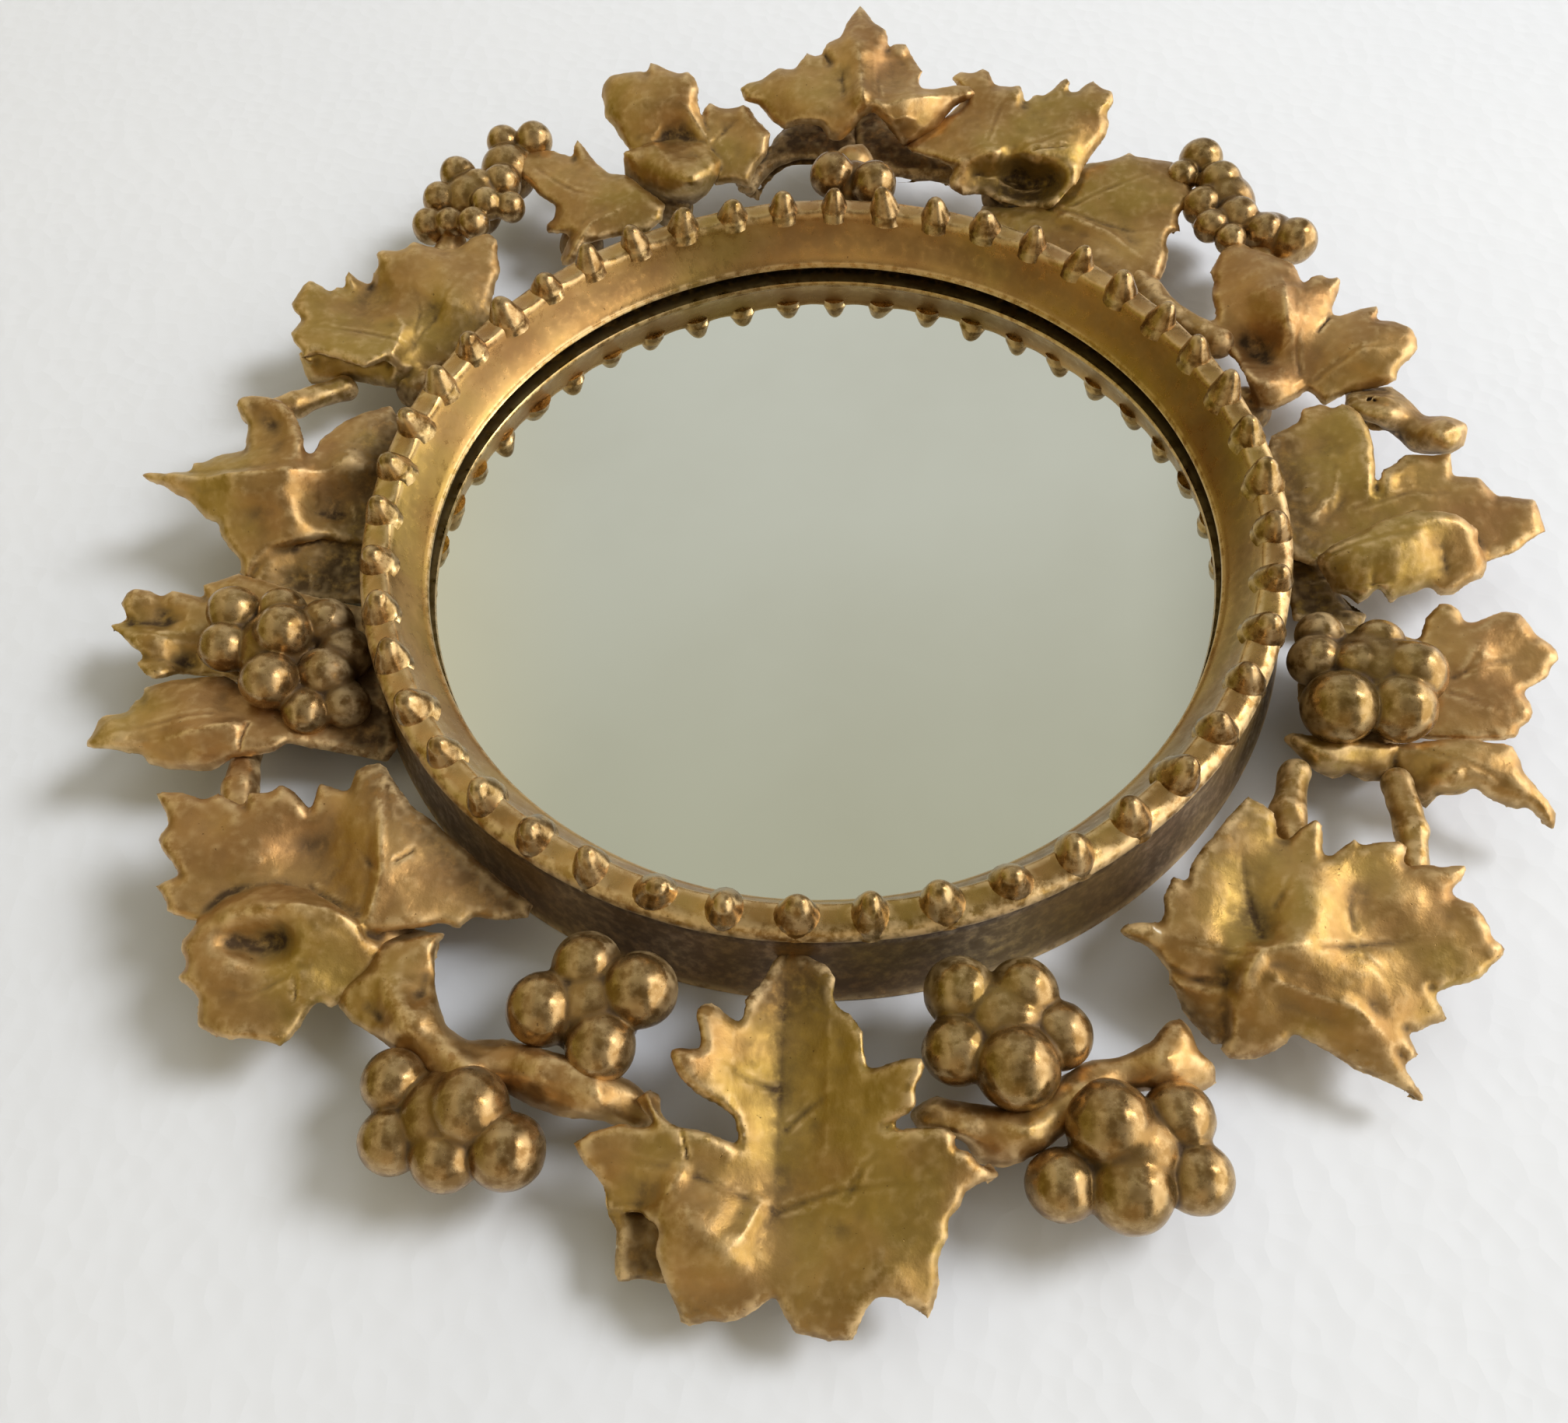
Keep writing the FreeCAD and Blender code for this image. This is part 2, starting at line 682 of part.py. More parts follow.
def glazing_pins():
    """Pins driven into the rebate's wall, lying against the board."""
    pins = []
    start = f"({REBATE_RADIUS} + Sizes.pin_depth - Sizes.pin_length)"
    for index in range(round(size("Sizes.pin_count"))):
        angle = FIRST_PIN_BEARING + index * FULL_TURN / size("Sizes.pin_count")
        outward = Vector(math.cos(math.radians(angle)), math.sin(math.radians(angle)), 0)
        pin = primitive("Cylinder", f"pin_{index}", Radius="Sizes.pin_radius", Height="Sizes.pin_length")
        pin.Placement = FreeCAD.Placement(Vector(), FreeCAD.Rotation(Vector(0, 0, 1), outward))
        bearing = f"({FIRST_PIN_BEARING} deg + {index} * {FULL_TURN} deg / Sizes.pin_count)"
        place = (f"{start} * cos({bearing})", f"{start} * sin({bearing})", f"{BOARD_BACK} - Sizes.pin_radius")
        pins.append(put(pin, *place))
    return joined("glazing_pins", pins, "Compound")


def screw_places():
    """Where the two hanger screws stand across the plate."""
    return ("-Sizes.screw_spacing / 2", "Sizes.screw_spacing / 2")


def hanger_plate():
    """The hanger's strap, with its end rolled into the barrel that the ring swings in."""
    length = f"{SCREW_PLACE} + Sizes.plate_length / 2 - {BARREL_PLACE}"
    strap = primitive("Box", "strap", Length="Sizes.plate_width", Width=length, Height="Sizes.plate_thickness")
    put(strap, "-Sizes.plate_width / 2", BARREL_PLACE, PLATE_UNDERSIDE)
    barrel = primitive("Cylinder", "barrel", Radius="Sizes.barrel_radius", Height="Sizes.barrel_length")
    put(barrel, "-Sizes.barrel_length / 2", BARREL_PLACE, BARREL_HEIGHT, Vector(0, 1, 0), QUARTER_TURN)
    bore_radius = "Sizes.ring_wire_radius + Sizes.ring_clearance"
    bore = primitive("Cylinder", "barrel_bore", Radius=bore_radius, Height="2 * Sizes.overrun")
    put(bore, "-Sizes.overrun", BARREL_PLACE, BARREL_HEIGHT, Vector(0, 1, 0), QUARTER_TURN)
    tools = [bore]
    for index, across in enumerate(screw_places()):
        hole_radius = "Sizes.screw_shank_radius + Sizes.screw_clearance"
        hole = primitive("Cylinder", f"screw_hole_{index}", Radius=hole_radius, Height="2 * Sizes.overrun")
        tools.append(put(hole, across, SCREW_PLACE, f"{PLATE_TOP} - Sizes.overrun"))
    plate = doc.addObject("Part::Cut", "hanger_plate")
    plate.Base = joined("strap_and_barrel", [strap, barrel])
    plate.Tool = joined("plate_holes", tools, "Compound")
    return plate


def hanger_screws():
    """Two round-headed screws that hold the strap to the ring."""
    screws = []
    for index, across in enumerate(screw_places()):
        head = primitive(
            "Cylinder",
            f"screw_head_{index}",
            Radius="Sizes.screw_head_radius",
            Height="Sizes.screw_head_height",
        )
        put(head, across, SCREW_PLACE, f"{PLATE_UNDERSIDE} - Sizes.screw_head_height")
        shank = primitive(
            "Cylinder", f"screw_shank_{index}", Radius="Sizes.screw_shank_radius", Height="Sizes.screw_length"
        )
        put(shank, across, SCREW_PLACE, PLATE_UNDERSIDE)
        screws.append(joined(f"screw_{index}", [head, shank]))
    return joined("hanger_screws", screws, "Compound")


def hanger_ring():
    """The wire ring that hooks on the wall: a bar through the barrel and a half-round bow."""
    wire = "Sizes.ring_wire_radius"
    bar = primitive("Cylinder", "ring_bar", Radius=wire, Height="2 * Sizes.ring_bend_radius")
    put(bar, "-Sizes.ring_bend_radius", BARREL_PLACE, BARREL_HEIGHT, Vector(0, 1, 0), QUARTER_TURN)
    bow = primitive("Torus", "ring_bow", Radius1="Sizes.ring_bend_radius", Radius2=wire)
    bow.Angle3 = HALF_TURN
    put(bow, "0", BARREL_PLACE, BARREL_HEIGHT, Vector(0, 0, 1), HALF_TURN)
    corners = []
    for index, across in enumerate(("-Sizes.ring_bend_radius", "Sizes.ring_bend_radius")):
        corner = primitive("Sphere", f"ring_corner_{index}", Radius=wire)
        corners.append(put(corner, across, BARREL_PLACE, BARREL_HEIGHT))
    return joined("hanger_ring", [bar, bow, *corners])


def place(shares, anchor_shares, span, depth):
    """A wreath point: its anchor keeps off the ring's wall as drawn, and the point keeps by its anchor."""
    drawn = Vector(*anchor_shares[:2], 0)
    stand_off = (drawn.Length - 1) * span
    anchor = Vector(drawn).normalize() * (size(RING_RADIUS) + stand_off)
    anchor.z = anchor_shares[2] * size("Sizes.ring_height")
    across, along, up = (here - there for here, there in zip(shares, anchor_shares))
    return anchor + Vector(across * span, along * span, up * depth)


def ring_outside():
    """What the ring takes up, with its glue line, for coping the wreath to its outer wall."""
    shoulder = size(RIM_SHOULDER)
    gap = size("Sizes.glue_gap")
    foot = size(RING_RADIUS) + gap
    lean = (size(RING_RADIUS) - size(RIM_OUTER)) / shoulder
    top = size("Sizes.ring_height + Sizes.overrun")
    return Part.makeCone(foot, foot - lean * top, top)


def grapes(shares, grow):
    """The berries of a cluster as separate balls, each grown by a given amount."""
    radius = size("Sizes.grape_radius")
    span = CLUSTER_SPAN_SHARE * radius
    depth = CLUSTER_DEPTH_SHARE * radius
    core_shares = shares[0][:3]
    return [
        ball(place((x, y, z), core_shares, span, depth), part * radius + grow, GRAPE_SIDES, GRAPE_BANDS)
        for x, y, z, part in shares
    ]


def stem(shares, grow):
    """A knuckled vine stem: tapering lengths between swollen knuckles."""
    radius = size("Sizes.stem_radius")
    swell = size("Sizes.knuckle_swell")
    span = size("Sizes.wreath_span")
    depth = size("Sizes.wreath_depth")
    knuckles = [
        (place((x, y, z), (x, y, z), span, depth), part * radius + grow)
        for x, y, z, part in shares
    ]
    pieces = [ball(point, thick + swell, STEM_SIDES, STEM_BANDS) for point, thick in knuckles]
    for (start, first), (end, last) in zip(knuckles, knuckles[1:]):
        lower = polygon(start, first, end - start, STEM_SIDES)
        upper = polygon(end, last, end - start, STEM_SIDES)
        pieces.append(faceted([lower, upper, *band(lower, upper)]))
    return pieces


def leaf(junction_shares, tip_shares):
    """A carved vine leaf: facets fall from each rib to the notches beside it, over a hollowed back."""
    edge = size("Sizes.leaf_edge")
    core = size("Sizes.leaf_core")
    crown = Vector(0, 0, size("Sizes.leaf_crown"))
    sag = Vector(0, 0, size("Sizes.leaf_sag"))
    span = size("Sizes.wreath_span")
    depth = size("Sizes.wreath_depth")
    junction = place(junction_shares, junction_shares, span, depth)
    tips = [place((x, y, z), junction_shares, span, depth) for x, y, z, notch in tip_shares]
    notch_shares = [notch for x, y, z, notch in tip_shares]
    ribs = []
    notches = []
    for index, tip in enumerate(tips):
        following = tips[(index + 1) % len(tips)]
        deepest_share = min(notch_shares[index], notch_shares[index - 1])
        ribs.append(junction + (tip - junction) * RIB_SHARE + crown * (1 - deepest_share))
        here = tip - junction
        there = following - junction
        flat_here = Vector(here.x, here.y, 0)
        flat_there = Vector(there.x, there.y, 0)
        reach = notch_shares[index] * (flat_here.Length + flat_there.Length) / 2
        rise = Vector(0, 0, notch_shares[index] * (here.z + there.z) / 2)
        toward = (flat_here.normalize() + flat_there.normalize()).normalize()
        notches.append(junction + toward * reach + rise - sag * (1 - notch_shares[index]))
    top = []
    rim = []
    for index, tip in enumerate(tips):
        rib = ribs[index]
        after = notches[index]
        before = notches[index - 1]
        top += [(junction, rib, before), (rib, tip, before), (junction, after, rib), (rib, after, tip)]
        rim += [(before, tip), (tip, after)]
    depths = {tuple(junction): core, **{tuple(rib): (core + edge) / 2 for rib in ribs}}

    def under(point):
        return point - Vector(0, 0, depths.get(tuple(point), edge))

    loops = [[*corners] for corners in top]
    loops += [[under(point) for point in corners] for corners in top]
    loops += [[first, last, under(last), under(first)] for first, last in rim]
    return faceted(loops)


def carved(label, pieces, taken):
    """A wreath piece cut back to what is already there, kept as its largest solid."""
    whole = pieces[0].fuse(pieces[1:]) if len(pieces) > 1 else pieces[0]
    near = [other for other in taken if other.BoundBox.intersect(whole.BoundBox)]
    rest = whole.cut(near) if near else whole
    item = doc.addObject("Part::Feature", label)
    item.Label = label
    item.Shape = max(rest.Solids, key=lambda solid: solid.Volume).removeSplitter()
    return item


def wreath():
    """Grape clusters, stems and leaves, each coped to the ring and to the pieces made before it."""
    gap = size("Sizes.glue_gap")
    taken = [ring_outside()]
    items = []
    for label, shares in GRAPE_SHARES.items():
        items.append(carved(label, grapes(shares, 0), taken))
        taken += grapes(shares, gap)
    for label, shares in STEM_SHARES.items():
        items.append(carved(label, stem(shares, 0), taken))
        taken += stem(shares, gap)
    for label, (junction_shares, tip_shares) in LEAF_SHARES.items():
        item = carved(label, [leaf(junction_shares, tip_shares)], taken)
        items.append(item)
        taken.append(item.Shape)
    return items


def write(items):
    """Stop on any failed object, then write each sub-part to its own file."""
    doc.recompute()
    failed = [item.Name for item in doc.Objects if "Invalid" in item.State or "Error" in item.State]
    failed += [item.Label for item in items if item.Shape.isNull() or not item.Shape.isValid()]
    if failed:
        raise RuntimeError(f"objects failed: {failed}")
    os.makedirs("parts", exist_ok=True)
    for item in items:
        item.Shape.exportStep(f"parts/{item.Label}.step")
        print(item.Label, len(item.Shape.Solids), round(item.Shape.Volume), round(item.Shape.BoundBox.ZMin, 2))


frame = [ring_frame(), rim_beads(), *panes(), glazing_pins()]
hanger = [hanger_plate(), hanger_screws(), hanger_ring()]
write(frame + hanger + wreath())
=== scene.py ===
"""Looks of the carved and gilded vine mirror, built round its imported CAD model, in metres.

The mirror lies on its back: +Z is the way the glass faces and +Y is the top of the mirror on the wall.
"""
import math

import bpy
import numpy as np
from mathutils import Matrix, Vector


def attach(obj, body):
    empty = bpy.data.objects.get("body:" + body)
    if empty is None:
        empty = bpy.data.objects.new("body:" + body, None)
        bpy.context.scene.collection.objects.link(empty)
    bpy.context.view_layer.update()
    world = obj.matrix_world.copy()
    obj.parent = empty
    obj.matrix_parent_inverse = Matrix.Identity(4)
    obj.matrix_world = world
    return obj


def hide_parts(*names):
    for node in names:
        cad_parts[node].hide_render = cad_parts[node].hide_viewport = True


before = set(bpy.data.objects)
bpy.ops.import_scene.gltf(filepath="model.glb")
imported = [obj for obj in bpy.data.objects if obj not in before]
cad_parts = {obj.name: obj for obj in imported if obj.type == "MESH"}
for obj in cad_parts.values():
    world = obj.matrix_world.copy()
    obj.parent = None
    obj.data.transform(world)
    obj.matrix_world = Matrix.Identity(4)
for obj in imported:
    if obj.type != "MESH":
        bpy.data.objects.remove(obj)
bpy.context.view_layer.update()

MM = 0.001

# The photograph's camera, in the mirror's frame
CAMERA_PLACE = Vector((10.35, -169.17, 224.7)) * MM
CAMERA_FORWARD = Vector((-0.0632, 0.5025, -0.8623))
CAMERA_RIGHT = Vector((0.9976, 0.0549, -0.0411))
LENS_MM = 28.5
SENSOR_MM = 36
PHOTO_WIDTH = 2016
PHOTO_HEIGHT = 1829

# Moulded ring, in millimetres: sight edge, rim and outer wall
SIGHT_RADIUS = 85
RING_HEIGHT = 24
REBATE_RADIUS = 90
SEAT_HEIGHT = 11
RIM_RADIUS = 92.2
BEAD_COUNT = 46
BEAD_RADIUS = 3.3
BEAD_HEIGHT = 5.2
BEAD_SKIRT = 0.4
BEAD_FLARE = 0.16
BEAD_WAIST = 0.08
BEAD_SINK = 2.4
PANE_RADIUS = 89.6
SILVER_HEIGHT = 8.8

# Outside this radius and below this height, in millimetres, the ring's wall is stained
STAIN_RADIUS = 94.6
STAIN_HEIGHT = 23.4

# How finely the carving is remeshed, in metres
LEAF_VOXEL = 0.5 * MM
LEAF_THICKNESS = 3.0 * MM
SHEET_STEP = 2.4
SHEET_EASE = 0.01
EDGE_ROLL = 1.5
EDGE_WIDTH = 13
STEM_THICKNESS = 6.5 * MM
STEM_VOXEL = 0.6 * MM
BERRY_VOXEL = 0.45 * MM

# Leaves: the place in millimetres where each is glued on, then its sheets. A sheet has its outline as the photograph
# shows it (across, down), knots that it bends through (across, down, height in millimetres) and its carved lines
LEAVES = {
    "leaf_bottom": ((-1, -136, 4.5), (
        (((1012, 1214), (1034, 1221), (1064, 1238), (1078, 1257), (1075, 1280), (1082, 1292), (1098, 1303),
          (1112, 1325), (1115, 1348), (1117, 1371), (1140, 1365), (1171, 1357), (1188, 1358), (1191, 1375),
          (1178, 1401), (1182, 1418), (1171, 1432), (1142, 1448), (1163, 1449), (1195, 1447), (1222, 1449),
          (1230, 1462), (1228, 1474), (1248, 1480), (1258, 1493), (1288, 1510), (1262, 1523), (1243, 1533),
          (1239, 1548), (1222, 1570), (1222, 1592), (1213, 1607), (1209, 1625), (1211, 1648), (1204, 1679),
          (1195, 1701), (1180, 1690), (1152, 1673), (1128, 1671), (1114, 1684), (1106, 1705), (1099, 1724),
          (1064, 1728), (1042, 1720), (1023, 1717), (1009, 1698), (996, 1667), (973, 1685), (947, 1700),
          (916, 1701), (886, 1709), (872, 1703), (867, 1684), (857, 1662), (848, 1640), (838, 1610), (845,
          1580),
          (820, 1560), (781, 1556), (775, 1546), (777, 1531), (762, 1511), (748, 1495), (734, 1469), (757,
          1453),
          (780, 1444), (800, 1440), (821, 1446), (838, 1444), (827, 1398), (848, 1430), (871, 1445), (905,
          1452),
          (928, 1462), (948, 1470), (943, 1437), (916, 1417), (893, 1404), (873, 1383), (861, 1357), (861,
          1347),
          (897, 1348), (901, 1344), (897, 1325), (893, 1306), (898, 1292), (914, 1287), (931, 1297), (950,
          1312),
          (956, 1295), (958, 1282), (973, 1266), (983, 1251), (992, 1232)),
         ((1012, 1216, 17), (1004, 1300, 14.2), (1001, 1400, 13), (998, 1500, 12.2), (996, 1560, 11.8),
          (1000, 1640, 12.2), (1070, 1722, 10.5), (958, 1285, 17.5), (900, 1298, 20.2), (864, 1352, 21.8),
          (880, 1388, 20.4), (935, 1430, 17.1), (948, 1470, 15.3), (1075, 1268, 17.5), (1112, 1335, 18.8),
          (1188, 1362, 22), (1176, 1425, 20.3), (1140, 1450, 17.8), (1225, 1456, 19), (1257, 1492, 17.5),
          (1287, 1511, 15.5), (1240, 1546, 15.5), (1221, 1590, 14.5), (1100, 1500, 15), (1160, 1520, 16.5),
          (1195, 1700, 10), (1207, 1640, 12), (1130, 1640, 14.5), (1095, 1590, 13.5), (1045, 1690, 12),
          (930, 1605, 16), (880, 1702, 9.5), (940, 1690, 10.5), (975, 1680, 11), (736, 1470, 17),
          (800, 1446, 17.5), (829, 1402, 18), (860, 1470, 16.8), (905, 1515, 15), (960, 1545, 13),
          (778, 1531, 13.5), (830, 1530, 14.5), (880, 1560, 17.5), (845, 1600, 15.5), (900, 1650, 13)),
         (("fold", ((1011, 1222), (1003, 1400), (997, 1555), (998, 1640))),
          ("vein", ((996, 1558), (905, 1516), (800, 1484), (770, 1480))),
          ("rib", ((975, 1552), (955, 1590), (925, 1620))), ("vein", ((1000, 1400), (960, 1385), (925,
          1358))),
          ("vein", ((1004, 1555), (1080, 1530), (1180, 1520))), ("vein", ((1090, 1540), (1110, 1500),
          (1140, 1475))),
          ("crack", ((876, 1450), (884, 1494))), ("vein", ((1010, 1450), (1050, 1415), (1078, 1400))),
          ("hollow", ((790, 1545), (850, 1548)),), ("rib", ((875, 1508), (852, 1540))))),
        (((848, 1560), (870, 1600), (866, 1640), (858, 1655), (820, 1648), (793, 1652), (789, 1640), (789,
          1600),
          (791, 1580), (781, 1565), (778, 1548), (800, 1545)),
         ((848, 1560, 10.5), (870, 1600, 10), (860, 1650, 8.5), (793, 1650, 9), (789, 1600, 10.5), (780,
          1555, 12)),
         ()),
    )),
    "leaf_left_low": ((-77, -95, 8), (
        (((198, 1018), (231, 1015), (261, 1026), (281, 1017), (300, 1028), (313, 1037), (318, 1016), (346,
          1018),
          (361, 1006), (376, 1014), (392, 1031), (398, 1043), (405, 1026), (409, 1006), (425, 1010), (447,
          1015),
          (451, 1000), (456, 988), (471, 980), (490, 978), (500, 985), (514, 1013), (532, 1035), (560,
          1055),
          (605, 1095), (645, 1130), (688, 1162), (680, 1182), (640, 1186), (612, 1180), (590, 1197), (567,
          1188), (545, 1195),
          (499, 1199), (470, 1200), (400, 1205), (330, 1200), (250, 1186), (223, 1179), (211, 1172), (214,
          1160),
          (204, 1148), (198, 1138), (215, 1130), (230, 1125), (221, 1110), (209, 1095), (202, 1080), (208,
          1070),
          (215, 1061), (214, 1047), (205, 1034)),
         ((205, 1020, 21.5), (204, 1080, 21.5), (201, 1139, 20.5), (228, 1178, 19), (260, 1100, 20.2),
          (300, 1035, 20.5), (330, 1100, 18.8), (361, 1010, 20.5), (395, 1038, 18.5), (400, 1090, 14.5),
          (350, 1150, 16.5), (412, 1010, 17.5), (455, 990, 18.5), (490, 980, 19), (487, 1050, 20), (490,
          1120, 19),
          (476, 1180, 17), (440, 1060, 17.2), (440, 1130, 15.8), (520, 1045, 19), (545, 1110, 16.5),
          (680, 1172, 10), (640, 1140, 12), (590, 1192, 12.5), (540, 1190, 15), (400, 1195, 15), (300,
          1180, 16)),
         (("rib", ((476, 1180), (490, 1130), (489, 1060), (486, 1010))),
          ("vein", ((498, 1010), (500, 1060), (499, 1110), (490, 1160))),
          ("vein", ((489, 1120), (470, 1105), (458, 1085))), ("crack", ((508, 1105), (534, 1090))),
          ("vein", ((400, 1140), (440, 1165), (470, 1188))))),
        (((250, 1183), (269, 1167), (293, 1150), (330, 1137), (364, 1135), (400, 1144), (436, 1163), (466,
          1188),
          (476, 1206), (492, 1210), (499, 1224), (486, 1248), (471, 1267), (450, 1284), (426, 1297), (410,
          1288),
          (399, 1300), (389, 1319), (376, 1337), (361, 1348), (346, 1342), (324, 1339), (293, 1339), (272,
          1333),
          (254, 1322), (252, 1306), (254, 1283), (244, 1273), (229, 1262), (225, 1253), (237, 1247), (238,
          1233),
          (231, 1221), (232, 1208), (246, 1193)),
         ((465, 1192, 18), (432, 1176, 20.5), (390, 1168, 22.3), (340, 1168, 22.8), (290, 1178, 21.8),
          (255, 1196, 20.2), (330, 1139, 18.5), (400, 1147, 18.3), (270, 1168, 18.8), (300, 1210, 17.8),
          (350, 1202, 17.5), (372, 1215, 18.6), (405, 1197, 21), (238, 1235, 18.8), (300, 1232, 19),
          (380, 1252, 17.5), (228, 1258, 18.2), (300, 1282, 16.5), (256, 1315, 14.8), (300, 1326, 15.8),
          (360, 1345, 12.8), (400, 1290, 14), (440, 1275, 13), (490, 1222, 14), (350, 1290, 15.2),
          (430, 1232, 16.5)),
         (("rib", ((466, 1192), (430, 1172), (390, 1164), (340, 1167), (285, 1180))),
          ("crack", ((380, 1255), (378, 1290))), ("hollow", ((360, 1205), (270, 1210))),
          ("vein", ((392, 1240), (320, 1280), (260, 1270))))),
    )),
    # Its sheets reach low towards the ring to fill the gap there, which lies in shadow; painted shade of low places
    # darkens them
    "leaf_left": ((-112, -46, 5), (
        (((154, 777), (162, 763), (171, 755), (194, 759), (206, 765), (223, 758), (249, 763), (262, 768),
          (258, 750), (275, 746), (306, 737), (340, 745), (400, 765), (470, 780), (500, 850), (500, 915),
          (350, 895), (280, 872), (230, 868), (200, 876), (185, 868), (173, 852), (184, 842), (167, 833),
          (148, 813), (137, 803), (150, 798), (162, 792)),
         ((154, 777, 18), (171, 755, 18.8), (223, 758, 17.5), (205, 792, 15.5), (137, 803, 18.3), (200,
          815, 17.8),
          (250, 808, 15.8), (173, 852, 17), (205, 858, 16.3), (240, 848, 12.8), (262, 770, 15), (306, 739,
          14.5),
          (350, 800, 12), (450, 800, 11), (440, 890, 10.5), (300, 870, 11.5)),
         (("vein", ((250, 820), (205, 815), (160, 805))), ("hollow", ((165, 795), (240, 795))),
          ("hollow", ((200, 842), (260, 850))))),
        (((111, 962), (110, 953), (117, 945), (123, 926), (133, 918), (160, 914), (171, 899), (181, 897),
          (183, 883), (200, 878), (225, 872), (260, 868), (290, 868), (310, 880), (350, 900), (420, 905),
          (500, 900), (516, 960), (500, 982), (450, 972), (400, 963), (370, 957), (353, 968), (320, 975),
          (301, 976),
          (279, 991), (260, 993), (218, 991), (190, 984), (183, 972), (152, 966), (133, 964)),
         ((111, 960, 18), (123, 926, 18.3), (171, 899, 17), (200, 880, 16.5), (262, 869, 15.5), (150, 945,
          19.3),
          (220, 925, 18), (290, 900, 15.5), (292, 935, 18), (250, 960, 17.3), (218, 990, 12.8), (279, 990,
          12.8),
          (183, 972, 15), (330, 965, 15), (370, 958, 14), (440, 932, 10), (500, 945, 7.5), (480, 975, 7.5)),
         (("crack", ((317, 930), (306, 968))), ("vein", ((270, 915), (200, 930), (130, 945))),
          ("rib", ((300, 932), (230, 948), (150, 950))))),
    )),
    "leaf_left_high": ((-107, 6, 6), (
        (((179, 612), (187, 605), (214, 607), (244, 604), (247, 593), (262, 592), (276, 585), (299, 581),
          (314, 578), (315, 562), (318, 547), (308, 535), (302, 520), (308, 509), (326, 507), (345, 508),
          (363, 514), (378, 528), (388, 547), (393, 566), (392, 578), (398, 584), (411, 563), (438, 544),
          (465, 531), (492, 522), (503, 520), (522, 550), (520, 590), (500, 620), (490, 660), (480, 705),
          (419, 694), (388, 701), (353, 709), (335, 725), (316, 748), (310, 731), (308, 720), (295, 707),
          (283, 690), (281, 674), (264, 669), (252, 655), (241, 643), (223, 636), (206, 624), (191, 620)),
         ((180, 611, 22.3), (230, 613, 22.8), (300, 613, 23.2), (370, 606, 22.6), (450, 590, 20), (250,
          596, 21.2),
          (300, 586, 20.5), (332, 562, 20.8), (305, 520, 24), (325, 508, 24.5), (365, 516, 24), (392, 566,
          22.5),
          (348, 545, 20.5), (500, 526, 17), (440, 548, 18.5), (410, 572, 19.5), (240, 641, 19.5), (282,
          682, 17),
          (316, 745, 12.8), (350, 706, 15), (330, 660, 18.3), (385, 660, 17.8), (390, 697, 14.5), (425,
          645, 13.5),
          (465, 625, 14), (440, 692, 11.5)),
         (("rib", ((215, 610), (300, 612), (370, 605), (470, 590))), ("hollow", ((400, 650), (455, 660))))),
        # This low sheet fills the gap by the ring, which lies in shadow; painted shade of low places darkens it
        (((316, 752), (336, 706), (395, 682), (470, 672), (490, 710), (488, 778), (420, 778), (360, 768)),
         ((320, 750, 11), (350, 725, 13), (400, 705, 11), (480, 710, 7), (480, 770, 7), (400, 770, 7.5),
          (380, 735, 10)),
         (("hollow", ((360, 735), (400, 740))),)),
    )),
    "leaf_upper_left": ((-100, 48, 5.5), (
        (((372, 390), (380, 379), (387, 368), (398, 358), (413, 365), (425, 373), (432, 366), (442, 369),
          (442, 356), (448, 347), (459, 357), (476, 365), (480, 350), (487, 341), (483, 325), (490, 321),
          (510, 322), (520, 319), (532, 309), (547, 314), (570, 320), (588, 317), (607, 303), (630, 298),
          (642, 310), (641, 330), (645, 350), (638, 370), (634, 388), (656, 408), (640, 440), (612, 460),
          (585, 470), (560, 478), (532, 486), (515, 480), (497, 465), (470, 476), (440, 464), (410, 457),
          (385, 461), (389, 453), (378, 443), (371, 428), (377, 421), (387, 410), (377, 401)),
         ((372, 390, 21.5), (398, 359, 22.8), (372, 428, 21.2), (387, 461, 20.5), (440, 463, 19.5), (470,
          474, 18.8),
          (495, 464, 18), (430, 420, 19.8), (400, 400, 20.8), (462, 385, 17.2), (447, 349, 21.5), (477,
          365, 17.8),
          (487, 338, 22), (490, 323, 22.8), (532, 311, 22.8), (560, 345, 21.5), (518, 378, 19.3), (556,
          400, 16.8),
          (527, 445, 15.5), (510, 420, 18), (590, 319, 21), (628, 300, 21.8), (641, 322, 20), (600, 350,
          20.5),
          (622, 386, 17.3), (578, 392, 19), (635, 425, 13), (580, 455, 12.5), (530, 478, 12)),
         (("vein", ((510, 465), (545, 425), (570, 385), (605, 345))),
          ("vein", ((530, 440), (540, 400), (530, 350))), ("rib", ((505, 465), (520, 420), (505, 400))),
          ("vein", ((520, 445), (460, 425), (400, 420))))),
        (((383, 452), (410, 446), (440, 452), (470, 462), (497, 452), (530, 470), (510, 500), (450, 491),
          (420, 497), (398, 495), (390, 480)),
         ((384, 455, 18), (440, 455, 17), (497, 455, 15.5), (522, 484, 13), (508, 499, 10), (450, 490, 11),
          (399, 494, 11.5)),
         ()),
    )),
    "leaf_top_left_low": ((-67, 99, 6), (
        (((652, 212), (660, 202), (675, 196), (693, 193), (713, 193), (737, 202), (736, 188), (742, 177),
          (753, 188), (767, 208), (783, 222), (805, 222), (830, 240), (858, 262), (852, 285), (835, 300),
          (800, 306), (770, 312), (757, 314), (748, 330), (734, 344), (722, 342), (719, 330), (728, 310),
          (733, 300), (716, 303), (702, 300), (701, 288), (711, 281), (714, 267), (693, 254), (680, 238),
          (667, 224)),
         ((655, 208, 18.5), (693, 195, 19), (742, 180, 20.5), (737, 204, 18), (783, 222, 18), (700, 225,
          17.5),
          (690, 250, 16), (750, 248, 17.8), (728, 266, 16.3), (805, 252, 18), (850, 268, 16.5), (800, 300,
          14.5),
          (734, 340, 12.5), (703, 295, 13.5), (757, 300, 15.8)),
         (("vein", ((690, 215), (740, 245), (800, 262))), ("rib", ((735, 330), (760, 290), (810, 262))))),
    )),
    "leaf_top_left": ((-44, 112, 9), (
